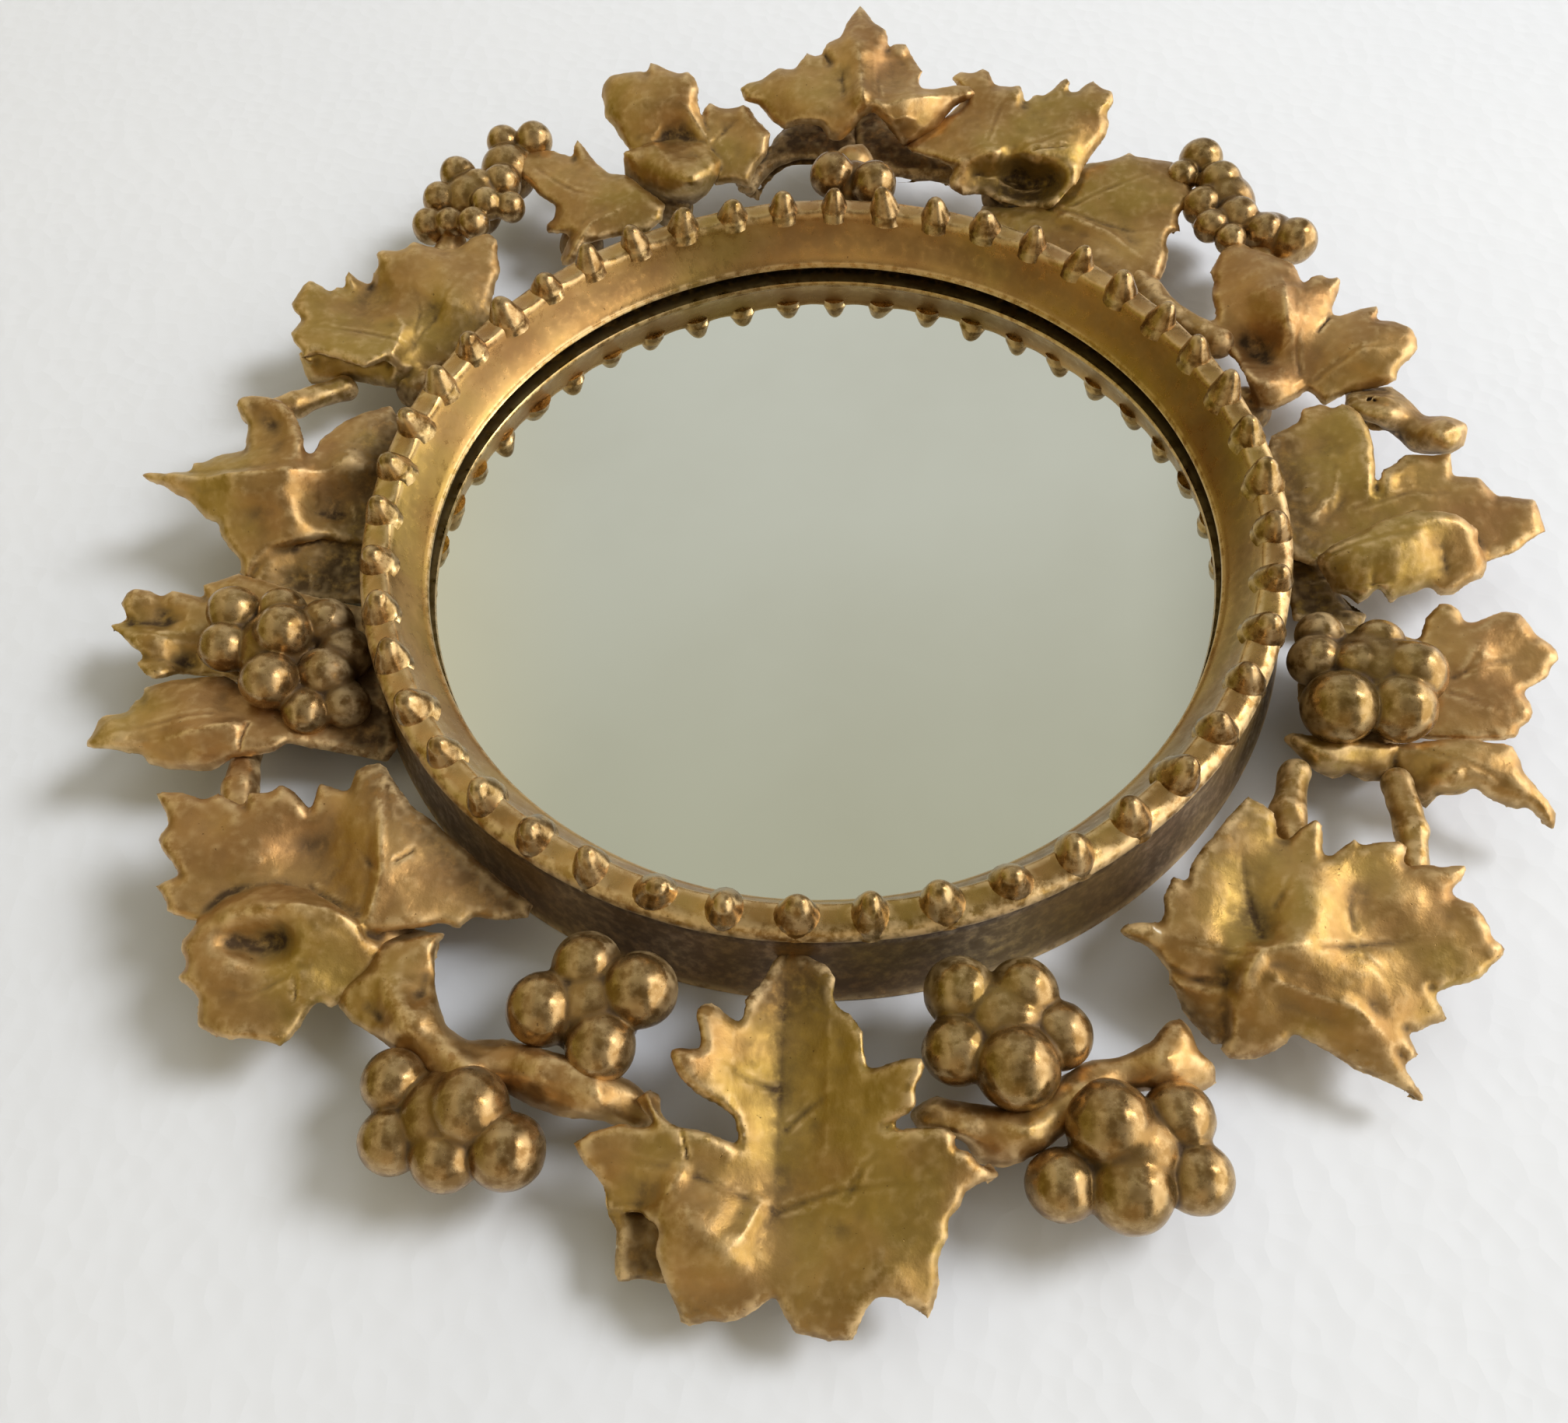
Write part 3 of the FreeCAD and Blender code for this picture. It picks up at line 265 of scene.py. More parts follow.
        (((771, 122), (774, 108), (784, 97), (800, 94), (816, 91), (831, 91), (834, 79), (843, 80), (860,
          87),
          (873, 92), (885, 90), (894, 99), (899, 112), (898, 130), (903, 150), (912, 175), (908, 190),
          (880, 182),
          (850, 190), (825, 200), (809, 194), (795, 176), (790, 166), (776, 152), (777, 138)),
         ((771, 122, 25.5), (784, 98, 28.5), (836, 81, 30.5), (893, 99, 30), (899, 128, 27), (830, 120,
          28.8),
          (868, 112, 29.3), (876, 140, 26.5), (905, 177, 22), (800, 150, 25), (779, 152, 23.5), (795, 176,
          20.5),
          (818, 197, 19.5), (840, 163, 23.5), (855, 172, 20.8), (875, 172, 21)),
         (("rib", ((910, 176), (890, 150), (872, 125))), ("hollow", ((820, 170), (870, 170))),
          ("vein", ((908, 180), (875, 152), (850, 140))))),
        (((906, 138), (912, 131), (926, 137), (945, 136), (956, 132), (966, 140), (975, 155), (992, 172),
          (988, 198), (974, 216), (964, 244), (945, 236), (918, 238), (902, 200), (900, 170), (900, 152)),
         ((912, 133, 25), (956, 134, 24.8), (930, 160, 22), (987, 180, 21.5), (965, 240, 14.5), (930, 207,
          18.5),
          (912, 182, 21), (960, 190, 19.8)),
         (("vein", ((915, 185), (935, 165), (955, 145))),)),
        (((800, 194), (825, 186), (855, 170), (883, 166), (908, 184), (926, 206), (924, 228), (912, 247),
          (892, 263), (860, 265), (818, 249), (802, 226)),
         ((855, 180, 21.3), (883, 174, 22.2), (924, 208, 20.5), (801, 201, 21.5), (850, 211, 22.3), (890,
          235, 21.3),
          (803, 226, 15.5), (820, 248, 13), (860, 264, 12.2), (892, 262, 12.2), (913, 246, 16)),
         (("fold", ((880, 174), (900, 200), (915, 235))),)),
    )),
    "leaf_top": ((4, 118, 15), (
        (((1106, 4), (1115, 16), (1124, 30), (1138, 39), (1142, 50), (1142, 64), (1149, 56), (1165, 56),
          (1171, 68), (1180, 79), (1187, 92), (1184, 104), (1185, 114), (1200, 113), (1228, 107), (1248,
          109),
          (1258, 120), (1249, 130), (1229, 139), (1215, 153), (1207, 166), (1191, 173), (1175, 185), (1161,
          190),
          (1149, 175), (1137, 158), (1122, 144), (1110, 152), (1097, 170), (1081, 183), (1064, 180), (1053,
          164),
          (1030, 162), (1008, 168), (992, 155), (975, 135), (956, 131), (950, 113), (963, 105), (977, 103),
          (988, 94), (1000, 86), (1021, 87), (1030, 76), (1037, 66), (1048, 71), (1057, 68), (1066, 80),
          (1057, 64), (1063, 55), (1080, 47), (1085, 33), (1095, 20)),
         ((1106, 8, 34.3), (1062, 57, 32), (1141, 46, 32.5), (1103, 60, 34), (1107, 115, 32), (1110, 146,
          28.5),
          (1037, 69, 31.5), (1000, 88, 29.8), (952, 113, 27.5), (1020, 118, 29.3), (990, 140, 25.5),
          (1050, 140, 28.5), (1012, 163, 24), (1064, 177, 23), (1082, 105, 29.5), (1130, 105, 29.5),
          (1160, 58, 31.5), (1186, 92, 30), (1165, 85, 28.3), (1252, 114, 28.5), (1200, 119, 28.8), (1165,
          132, 30),
          (1130, 137, 29.8), (1215, 152, 23.5), (1175, 183, 20.5), (1150, 166, 24)),
         (("rib", ((1110, 145), (1108, 110), (1103, 50))), ("vein", ((1085, 120), (1080, 70))),
          ("vein", ((1130, 125), (1128, 80))), ("hollow", ((1150, 150), (1200, 160))),
          ("rib", ((1128, 138), (1170, 128), (1240, 116))))),
    )),
    "leaf_top_right": ((44, 116, 9), (
        (((1222, 100), (1232, 92), (1251, 92), (1264, 86), (1274, 92), (1280, 108), (1301, 110), (1313,
          108),
          (1318, 122), (1316, 134), (1331, 121), (1343, 122), (1353, 115), (1362, 104), (1373, 97), (1377,
          107),
          (1373, 117), (1385, 117), (1396, 107), (1405, 103), (1419, 113), (1431, 116), (1433, 132), (1424,
          146),
          (1428, 158), (1424, 172), (1416, 186), (1404, 200), (1396, 212), (1386, 238), (1370, 252), (1358,
          263),
          (1348, 271), (1315, 268), (1283, 259), (1260, 251), (1237, 253), (1219, 242), (1218, 230), (1226,
          218),
          (1200, 206), (1172, 198), (1164, 188), (1182, 174), (1206, 160), (1222, 142), (1238, 126), (1230,
          112)),
         ((1223, 101, 27), (1264, 89, 29), (1313, 110, 27.8), (1290, 140, 26.3), (1331, 123, 26.5), (1373,
          99, 28.3),
          (1405, 105, 28.5), (1431, 120, 28), (1424, 162, 25), (1400, 206, 21.5), (1340, 160, 25.5),
          (1380, 150, 26.8), (1300, 180, 24.3), (1258, 160, 24.5), (1235, 213, 21), (1170, 190, 20.5),
          (1205, 180, 21.5), (1280, 204, 22.8),
          (1330, 206, 23), (1376, 216, 22.5), (1355, 263, 18), (1260, 232, 16), (1310, 224, 14.8), (1350,
          236, 16),
          (1310, 246, 13), (1225, 241, 17.5), (1283, 257, 14.5), (1315, 267, 14), (1347, 269, 16)),
         (("vein", ((1290, 195), (1340, 180), (1400, 160))), ("vein", ((1270, 180), (1285, 140), (1300,
          120))),
          ("rib", ((1235, 210), (1285, 203), (1335, 205), (1378, 214))),
          ("crack", ((1330, 192), (1375, 186))))),
    )),
    "leaf_right_top": ((64, 96, 6), (
        (((1400, 210), (1428, 206), (1444, 200), (1452, 195), (1460, 201), (1476, 202), (1502, 206), (1518,
          210),
          (1530, 225), (1536, 254), (1530, 266), (1517, 275), (1517, 286), (1521, 299), (1505, 301), (1502,
          314),
          (1504, 327), (1500, 343), (1493, 362), (1484, 380), (1462, 386), (1430, 373), (1400, 356),
          (1360, 336), (1320, 318), (1280, 300), (1255, 282), (1262, 264), (1300, 266), (1335, 258), (1350,
          240),
          (1374, 216)),
         ((1400, 211, 18.8), (1452, 197, 19.8), (1516, 210, 18), (1535, 255, 17.5), (1450, 240, 19.3),
          (1500, 240, 18.8), (1370, 265, 16.3), (1400, 281, 16.3), (1450, 300, 15.6), (1519, 297, 16.3),
          (1430, 262, 18), (1482, 330, 16), (1490, 364, 13.3), (1430, 330, 15.3), (1380, 305, 14.3),
          (1310, 280, 13.5), (1360, 330, 12), (1265, 275, 11), (1465, 376, 12), (1345, 250, 14)),
         (("vein", ((1360, 268), (1400, 282), (1460, 298), (1515, 295))),
          ("vein", ((1380, 262), (1440, 235), (1490, 220))), ("rib", ((1370, 280), (1430, 305), (1480,
          345))))),
    )),
    "leaf_right_upper": ((98, 44, 5), (
        (((1555, 350), (1562, 337), (1570, 321), (1580, 314), (1597, 309), (1612, 317), (1632, 324), (1648,
          331),
          (1664, 338), (1670, 351), (1676, 364), (1685, 354), (1700, 350), (1709, 357), (1720, 353), (1726,
          359),
          (1722, 378), (1714, 394), (1712, 404), (1724, 405), (1748, 396), (1773, 390), (1776, 400), (1772,
          408),
          (1792, 410), (1815, 420), (1822, 434), (1824, 448), (1816, 459), (1804, 470), (1796, 479), (1796,
          489),
          (1777, 498), (1760, 502), (1735, 506), (1715, 516), (1703, 523), (1690, 510), (1680, 503), (1671,
          511),
          (1653, 523), (1636, 531), (1617, 525), (1608, 510), (1600, 490), (1589, 463), (1568, 439), (1542,
          419),
          (1545, 411), (1562, 411), (1560, 395), (1555, 378), (1560, 364)),
         ((1556, 350, 17.5), (1570, 322, 20), (1597, 311, 21.3), (1650, 333, 22.5), (1670, 352, 21.8),
          (1640, 368, 22.8), (1655, 420, 20.8), (1608, 370, 20.5), (1572, 390, 17), (1590, 425, 15),
          (1620, 450, 13.3), (1700, 352, 22.3), (1724, 359, 21.8), (1700, 395, 19.8), (1718, 397, 19.3),
          (1688, 432, 18.3), (1676, 402, 21.3), (1664, 470, 15.3), (1680, 500, 13), (1774, 392, 21.3),
          (1823, 446, 20), (1796, 486, 16.8), (1752, 440, 20.8), (1720, 478, 16.3), (1704, 519, 12),
          (1760, 500, 14), (1600, 480, 16.3), (1630, 492, 16), (1545, 415, 15), (1589, 463, 13.8),
          (1609, 510, 12.3), (1636, 529, 11.8), (1669, 511, 12.5), (1648, 470, 16)),
         (("fold", ((1600, 435), (1635, 462), (1672, 490))), ("rib", ((1650, 440), (1652, 400), (1648,
          350))),
          ("vein", ((1672, 480), (1668, 430), (1680, 385))), ("vein", ((1605, 490), (1630, 500), (1655,
          495))),
          ("vein", ((1690, 490), (1740, 450), (1800, 440))), ("crack", ((1695, 425), (1712, 405))))),
    )),
    "leaf_right": ((107, 4, 4.5), (
        (((1669, 541), (1673, 525), (1697, 517), (1714, 523), (1725, 517), (1738, 520), (1751, 532), (1760,
          549),
          (1766, 575), (1769, 597), (1770, 630), (1776, 604), (1792, 595), (1805, 584), (1840, 583), (1868,
          580),
          (1869, 611), (1901, 612), (1914, 625), (1927, 637), (1955, 638), (1974, 641), (1981, 655), (1990,
          684),
          (1966, 699), (1948, 712), (1916, 723), (1880, 722), (1800, 718), (1720, 715), (1690, 730), (1660,
          722),
          (1640, 685), (1630, 640), (1622, 600), (1632, 560)),
         ((1670, 540, 16), (1725, 519, 18), (1765, 570, 18), (1769, 620, 17), (1712, 570, 15.6), (1690,
          620, 14.3),
          (1720, 640, 13.8), (1650, 600, 13), (1805, 586, 16.8), (1868, 582, 16.8), (1830, 625, 16),
          (1901, 613, 17), (1974, 642, 17.5), (1989, 684, 17), (1940, 680, 16), (1916, 721, 15),
          (1780, 642, 15), (1860, 660, 15.5), (1700, 690, 12.3), (1662, 685, 11.8), (1800, 710, 14.5)),
         (("vein", ((1705, 655), (1715, 620), (1714, 585))), ("rib", ((1690, 665), (1712, 640), (1722,
          600))), ("vein", ((1740, 655), (1820, 630), (1900, 635))))),
        (((1690, 716), (1715, 697), (1750, 680), (1780, 664), (1815, 655), (1850, 655), (1880, 663), (1905,
          679),
          (1902, 694), (1914, 725), (1909, 745), (1890, 751), (1870, 767), (1850, 769), (1836, 757), (1815,
          766),
          (1800, 768), (1788, 778), (1778, 765), (1771, 756), (1760, 770), (1745, 779), (1732, 768), (1712,
          763),
          (1706, 749), (1694, 728)),
         ((1700, 711, 15.5), (1750, 684, 18.8), (1815, 659, 20.8), (1870, 664, 20.8), (1903, 681, 19.3),
          (1760, 720, 18.6), (1815, 708, 19.3), (1852, 720, 17), (1706, 749, 12.3), (1745, 777, 11), (1788,
          776, 11),
          (1771, 757, 14.3), (1835, 757, 12.3), (1870, 766, 11.5), (1909, 743, 13.8), (1893, 706, 17.3)),
         (("hollow", ((1858, 700), (1866, 750))), ("hollow", ((1770, 735), (1766, 760))),
          ("vein", ((1705, 715), (1770, 690), (1850, 675))))),
        (((1645, 712), (1700, 715), (1725, 765), (1760, 790), (1750, 812), (1690, 805), (1660, 800), (1648,
          750)),
         ((1655, 720, 7), (1700, 725, 8), (1740, 790, 7), (1680, 798, 6.5)), ()),
    )),
    "leaf_right_grapes": ((110, -46, 4.5), (
        (((1831, 792), (1849, 775), (1866, 774), (1879, 783), (1884, 798), (1898, 798), (1914, 790), (1935,
          784),
          (1955, 788), (1966, 801), (1974, 815), (1990, 824), (2002, 835), (2008, 848), (1997, 857), (1994,
          870),
          (1979, 880), (1961, 890), (1970, 903), (1974, 918), (1966, 931), (1955, 937), (1951, 950), (1900,
          955),
          (1840, 953), (1760, 942), (1680, 932), (1666, 900), (1668, 830), (1688, 792), (1740, 800), (1790,
          808),
          (1822, 822)),
         ((1831, 792, 15), (1866, 776, 16.3), (1884, 798, 16), (1935, 785, 17.2), (1965, 801, 17.2),
          (2007, 848, 16.8), (1994, 868, 16), (1961, 890, 15.5), (1973, 918, 15.8), (1951, 948, 14.2),
          (1900, 835, 16.6), (1930, 852, 15.6), (1870, 872, 14.2), (1858, 900, 13.8), (1920, 910, 15),
          (1760, 870, 11.5), (1680, 850, 10.5), (1690, 920, 10.5), (1840, 945, 12.3), (1880, 930, 13.8)),
         (("vein", ((1865, 872), (1900, 855), (1945, 847), (1990, 845))), ("vein", ((1865, 890), (1930,
          910))),
          ("vein", ((1885, 862), (1910, 825))))),
        (((1790, 955), (1820, 952), (1860, 948), (1905, 952), (1946, 957), (1953, 970), (1961, 991), (1979,
          1011),
          (1994, 1030), (2001, 1050), (1999, 1067), (1987, 1063), (1977, 1050), (1960, 1038), (1954, 1043),
          (1935, 1039), (1909, 1026), (1896, 1013), (1883, 1022), (1864, 1024), (1850, 1022), (1835, 1042),
          (1815, 1031), (1795, 1009), (1790, 980)),
         ((1800, 958, 13.5), (1860, 950, 15), (1946, 958, 15.8), (1961, 990, 15.3), (1999, 1057, 12),
          (1950, 1008, 15.3),
          (1900, 975, 15.8), (1890, 1000, 14.8), (1860, 1010, 13), (1935, 1038, 11), (1870, 1022, 10.8),
          (1835, 1040, 7.5), (1800, 1006, 9), (1840, 985, 13)),
         (("vein", ((1830, 960), (1900, 985), (1970, 1030))), ("rib", ((1855, 998), (1885, 995))))),
        (((1647, 948), (1665, 942), (1700, 945), (1760, 950), (1802, 955), (1796, 975), (1791, 1009),
          (1779, 1007),
          (1753, 1006), (1735, 996), (1714, 1004), (1690, 992), (1675, 979), (1660, 965)),
         ((1648, 949, 12.5), (1700, 947, 14), (1760, 952, 15), (1800, 957, 14), (1690, 962, 14.6), (1720,
          975, 14.3),
          (1675, 978, 10.8), (1714, 1003, 9), (1753, 1005, 8.5), (1790, 1007, 8), (1770, 980, 12.5)),
         (("rib", ((1668, 960), (1695, 970), (1722, 977))),)),
    )),
    "leaf_right_low": ((78, -92, 7.5), (
        (((1603, 1022), (1624, 1032), (1639, 1043), (1643, 1058), (1644, 1073), (1654, 1077), (1669, 1062),
          (1684, 1053), (1693, 1049), (1702, 1058), (1704, 1075), (1702, 1099), (1712, 1098), (1725, 1087),
          (1738, 1076), (1745, 1075), (1749, 1083), (1777, 1080), (1799, 1078), (1811, 1086), (1812, 1096),
          (1805, 1107), (1809, 1112), (1829, 1109), (1850, 1112), (1870, 1109), (1887, 1111), (1887, 1122),
          (1880, 1134), (1868, 1144), (1870, 1150), (1895, 1161), (1908, 1176), (1917, 1192), (1920, 1205),
          (1936, 1217), (1932, 1230), (1917, 1247), (1908, 1258), (1887, 1266), (1863, 1273), (1850, 1279),
          (1842, 1271), (1854, 1290), (1864, 1312), (1835, 1322), (1820, 1328), (1808, 1322), (1814, 1335),
          (1826, 1357), (1814, 1366), (1797, 1352), (1816, 1383), (1828, 1402), (1836, 1416), (1826, 1419),
          (1801, 1402), (1775, 1389), (1757, 1381), (1745, 1379), (1730, 1370), (1713, 1357), (1691, 1344),
          (1669, 1333), (1661, 1330), (1658, 1341), (1641, 1351), (1617, 1363), (1602, 1365), (1580, 1364),
          (1566, 1350), (1578, 1331), (1576, 1305), (1570, 1285), (1549, 1263), (1519, 1256), (1499, 1248),
          (1486, 1230), (1467, 1214), (1449, 1208), (1436, 1196), (1449, 1187), (1467, 1184), (1493, 1185),
          (1496, 1170), (1493, 1155), (1501, 1140), (1507, 1124), (1526, 1134), (1530, 1110), (1548, 1085),
          (1575, 1050)),
         ((1603, 1024, 19.5), (1643, 1060, 18.3), (1654, 1076, 17.3), (1693, 1051, 20), (1703, 1082, 18.5),
          (1580, 1080, 18.5), (1530, 1120, 17.3), (1503, 1140, 17.5), (1495, 1180, 16.8), (1560, 1150, 17),
          (1600, 1100, 17), (1612, 1160, 15.7), (1622, 1200, 16.2), (1650, 1130, 18.3), (1680, 1110, 19),
          (1695, 1190, 20), (1705, 1150, 19.4), (1713, 1108, 18.3), (1745, 1076, 18.8), (1799, 1079, 18.8),
          (1812, 1096, 18.2), (1850, 1113, 18.6), (1887, 1115, 19), (1868, 1145, 18), (1917, 1190, 18.8),
          (1935, 1217, 18.3), (1908, 1257, 16.6), (1850, 1278, 15.4), (1750, 1217, 17), (1850, 1206, 17.5),
          (1905, 1203, 18.2), (1790, 1150, 18.2), (1738, 1155, 17.2), (1800, 1240, 16.3), (1863, 1310,
          11.5),
          (1820, 1326, 11.8), (1752, 1245, 18), (1785, 1292, 15.4), (1768, 1298, 15), (1650, 1214, 20),
          (1690, 1214, 20.3), (1620, 1222, 19), (1610, 1245, 18.5), (1640, 1240, 18.6), (1700, 1256, 18),
          (1760, 1312, 15.2), (1825, 1355, 12), (1834, 1414, 9), (1757, 1380, 10), (1700, 1346, 11),
          (1661, 1331, 12.3), (1640, 1350, 10.5), (1600, 1363, 10), (1650, 1290, 15.2), (1608, 1290, 15.5),
          (1578, 1332, 11.5), (1595, 1266, 16.8), (1438, 1196, 16.5), (1467, 1187, 17.3), (1495, 1203, 17),
          (1550, 1215, 17.3), (1486, 1230, 14.8), (1519, 1256, 14), (1580, 1262, 14.5)),
         (("vein", ((1622, 1205), (1605, 1150), (1598, 1100), (1594, 1070))),
          ("vein", ((1640, 1165), (1655, 1140), (1668, 1110))), ("vein", ((1700, 1216), (1780, 1212),
          (1880, 1204))),
          ("vein", ((1742, 1195), (1736, 1165), (1746, 1130))), ("rib", ((1600, 1255), (1620, 1222), (1690,
          1214))),
          ("rib", ((1640, 1262), (1700, 1285), (1740, 1296), (1800, 1350))),
          ("vein", ((1755, 1230), (1790, 1265))),
          ("vein", ((1615, 1225), (1550, 1218), (1490, 1205))))),
        (((1500, 1250), (1550, 1263), (1592, 1262), (1586, 1300), (1582, 1340), (1560, 1346), (1518, 1300),
          (1510, 1280)),
         ((1500, 1251, 14), (1590, 1264, 15), (1580, 1340, 9), (1518, 1298, 9), (1555, 1290, 12)),
         ()),
    )),
}

# Berries of each cluster: place in the photograph (across, down), height in millimetres, radius in the photograph
BERRIES = {
    "grapes_bottom_left_inner": (
        (764, 1296, 12.0, 62), (755, 1243, 15.4, 45), (822, 1272, 15.8, 49), (698, 1297, 15.8, 47),
        (772, 1346, 15.4, 45),
    ),
    "grapes_bottom_left_outer": (
        (575, 1440, 11.0, 64), (508, 1391, 13.4, 42), (505, 1466, 12.5, 43), (603, 1424, 15.0, 52),
        (573, 1485, 12.8, 46), (652, 1480, 13.2, 49),
    ),
    "grapes_left": (
        (365, 840, 12.5, 56), (302, 788, 17.4, 34), (365, 812, 19.5, 35), (290, 832, 17.0, 32),
        (346, 876, 18.2, 36), (364, 785, 17.5, 29), (421, 804, 15.5, 34), (420, 866, 15.0, 34),
        (394, 915, 13.5, 31), (444, 840, 13.5, 34), (445, 905, 12.0, 30),
    ),
    "grapes_upper_left": (
        (608, 264, 14.0, 38), (654, 222, 14.0, 34), (648, 184, 17.5, 21), (687, 181, 18.0, 23),
        (590, 226, 17.8, 23), (615, 238, 18.0, 19), (567, 257, 17.5, 22), (627, 262, 18.5, 20),
        (553, 291, 17.0, 22), (579, 287, 18.0, 19), (609, 288, 18.5, 20), (656, 266, 17.0, 19),
        (646, 236, 16.5, 23),
    ),
    "grapes_top": ((1098, 244, 17.0, 34), (1070, 225, 21.5, 28), (1124, 237, 21.5, 28)),
    "grapes_upper_right": (
        (1572, 268, 14.0, 40), (1630, 310, 14.0, 34), (1543, 207, 17.5, 27), (1567, 236, 18.0, 27),
        (1545, 264, 17.0, 23), (1557, 290, 17.5, 21), (1590, 280, 18.0, 26), (1624, 298, 17.5, 23),
        (1664, 310, 17.0, 28), (1582, 308, 18.0, 19), (1519, 228, 17.0, 20),
    ),
    "grapes_right": (
        (1758, 878, 12.0, 66), (1690, 850, 15.4, 33), (1744, 856, 17.5, 31), (1771, 830, 16.0, 33),
        (1815, 866, 18.0, 43), (1722, 909, 17.0, 47), (1801, 911, 17.5, 43), (1696, 818, 14.5, 30),
    ),
    "grapes_bottom_right_inner": (
        (1290, 1320, 12.0, 68), (1234, 1276, 14.9, 46), (1315, 1276, 15.5, 44), (1361, 1331, 14.9, 43),
        (1230, 1350, 15.4, 44), (1308, 1373, 17.0, 54),
    ),
    "grapes_bottom_right_outer": (
        (1450, 1482, 11.5, 68), (1427, 1446, 15.0, 57), (1515, 1437, 13.4, 46), (1365, 1523, 12.5, 46),
        (1454, 1528, 13.2, 56), (1539, 1514, 12.5, 46),
    ),
}

# Stems that are seen whole, as sheets in the same way as the leaves; the others are rounded from their solids
STEM_SHEETS = {
    "stem_bottom_left": (
        (((485, 1204), (470, 1240), (435, 1268), (430, 1295), (453, 1318), (485, 1341), (517, 1363), (553,
          1390),
          (600, 1402), (640, 1405), (681, 1425), (718, 1438), (754, 1443), (800, 1452), (830, 1460), (860,
          1440),
          (835, 1405), (809, 1382), (780, 1374), (754, 1364), (699, 1346), (654, 1332), (602, 1337), (576,
          1318),
          (566, 1277), (562, 1222), (575, 1198), (540, 1195)),
         ((490, 1208, 14), (560, 1205, 14), (440, 1288, 13.5), (564, 1272, 14.5), (510, 1285, 18), (600,
          1340, 14),
          (520, 1358, 13), (654, 1338, 14.5), (640, 1400, 13), (720, 1385, 18), (700, 1430, 12.5), (800,
          1384, 14.5),
          (790, 1446, 12.5), (850, 1440, 12.5), (770, 1412, 18), (600, 1368, 18.5), (680, 1382, 18.5),
          (530, 1330, 18)),
         (("hollow", ((545, 1250), (530, 1300))), ("hollow", ((470, 1290), (500, 1320))))),
    ),
    "stem_bottom_right": (
        (((1165, 1430), (1200, 1408), (1240, 1414), (1290, 1420), (1340, 1404), (1390, 1362), (1441, 1356),
          (1478, 1336), (1500, 1310), (1519, 1306), (1534, 1322), (1545, 1348), (1566, 1366), (1568, 1396),
          (1540, 1408), (1500, 1405), (1440, 1415), (1400, 1442), (1340, 1483), (1290, 1503), (1255, 1498),
          (1236, 1472), (1180, 1455)),
         ((1180, 1432, 13), (1260, 1420, 14.5), (1250, 1490, 12), (1330, 1412, 14.5), (1300, 1498, 12),
          (1392, 1368, 14.5), (1402, 1438, 12.5), (1450, 1358, 15), (1450, 1410, 12.5), (1512, 1312, 16),
          (1562, 1366, 14), (1550, 1404, 11), (1500, 1365, 18), (1320, 1455, 18.5), (1240, 1450, 17),
          (1400, 1402, 18)),
         ()),
    ),
    "stem_cut_right": (
        (((1728, 505), (1760, 499), (1792, 494), (1812, 510), (1834, 532), (1857, 531), (1889, 544),
          (1884, 576), (1867, 587), (1838, 587), (1814, 582), (1793, 562), (1768, 546), (1744, 537), (1726,
          528)),
         ((1732, 514, 14), (1760, 504, 14), (1792, 498, 14.5), (1745, 522, 16), (1785, 530, 18), (1790,
          556, 13),
          (1834, 536, 17), (1818, 578, 13), (1848, 560, 19.5), (1886, 548, 19), (1880, 574, 17), (1842,
          584, 14)),
         ()),
    ),
    # The arch stems reach up under leaf_top to fill its shadowed underside; their shade height darkens them all over
    # with painted shadow
    "stem_arch_left": (
        (((946, 246), (960, 214), (982, 196), (998, 170), (1020, 148), (1050, 138), (1102, 132), (1106,
          210),
          (1060, 209), (1022, 210), (1002, 216), (986, 228), (968, 253)),
         ((956, 244, 12), (985, 208, 15), (1020, 160, 16), (1100, 145, 17), (1102, 206, 14.5), (1050, 206,
          14.5),
          (988, 224, 13)),
         ()),
    ),
    "stem_arch_right": (
        (((1094, 132), (1130, 122), (1160, 158), (1177, 182), (1202, 192), (1232, 202), (1246, 222), (1228,
          240),
          (1190, 233), (1150, 229), (1124, 219), (1096, 210)),
         ((1108, 140, 17), (1160, 185, 15.5), (1232, 210, 14), (1228, 234, 12), (1150, 224, 13.5), (1100,
          206, 14.5)),
         ()),
    ),
}

# How each kind of carved line on a leaf is cut, in millimetres; below zero it stands proud
LEAF_LINES = {
    "fold": {"depth": 1.5, "width": 8, "power": 1, "fade": 0.5, "through": True},
    "vein": {"depth": 0.26, "width": 1.1, "fade": 0.4},
    "rib": {"depth": -0.9, "width": 2.6, "power": 1.3, "fade": 0.5},
    "crack": {"depth": 0.6, "width": 0.7, "fade": 0.8},
    "hollow": {"depth": 1.6, "width": 5.5, "fade": 0.5},
}

STEMS = [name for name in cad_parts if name.startswith("stem_")]

# How much fuller than its solid a stem is carved, and how far a flat stem's edges roll down, in millimetres
STEM_FULLNESS = 0.3
STEM_ROLL = 2.5

# Below these heights, and inside this radius, in millimetres, painted shade darkens the surface, as if the low
# places and the ground beside the ring wall lay in shadow
LEAF_SHADE_HEIGHT = 13
BERRY_SHADE_HEIGHT = 12
RING_SHADOW_RADIUS = 112
SHADE_HEIGHTS = {"stem_arch_left": 24, "stem_arch_right": 24, "stem_cut_right": 18, "leaf_top_right": 19,
              "leaf_top_left": 17}


def alone(piece):
    """Make one object the active and only selected one."""
    bpy.ops.object.select_all(action="DESELECT")
    bpy.context.view_layer.objects.active = piece
    piece.select_set(True)


def apply_modifier(piece, kind, **settings):
    """Add a modifier, set it and apply it."""
    alone(piece)
    modifier = piece.modifiers.new(kind.lower(), kind)
    for key, value in settings.items():
        setattr(modifier, key, value)
    bpy.ops.object.modifier_apply(modifier=modifier.name)


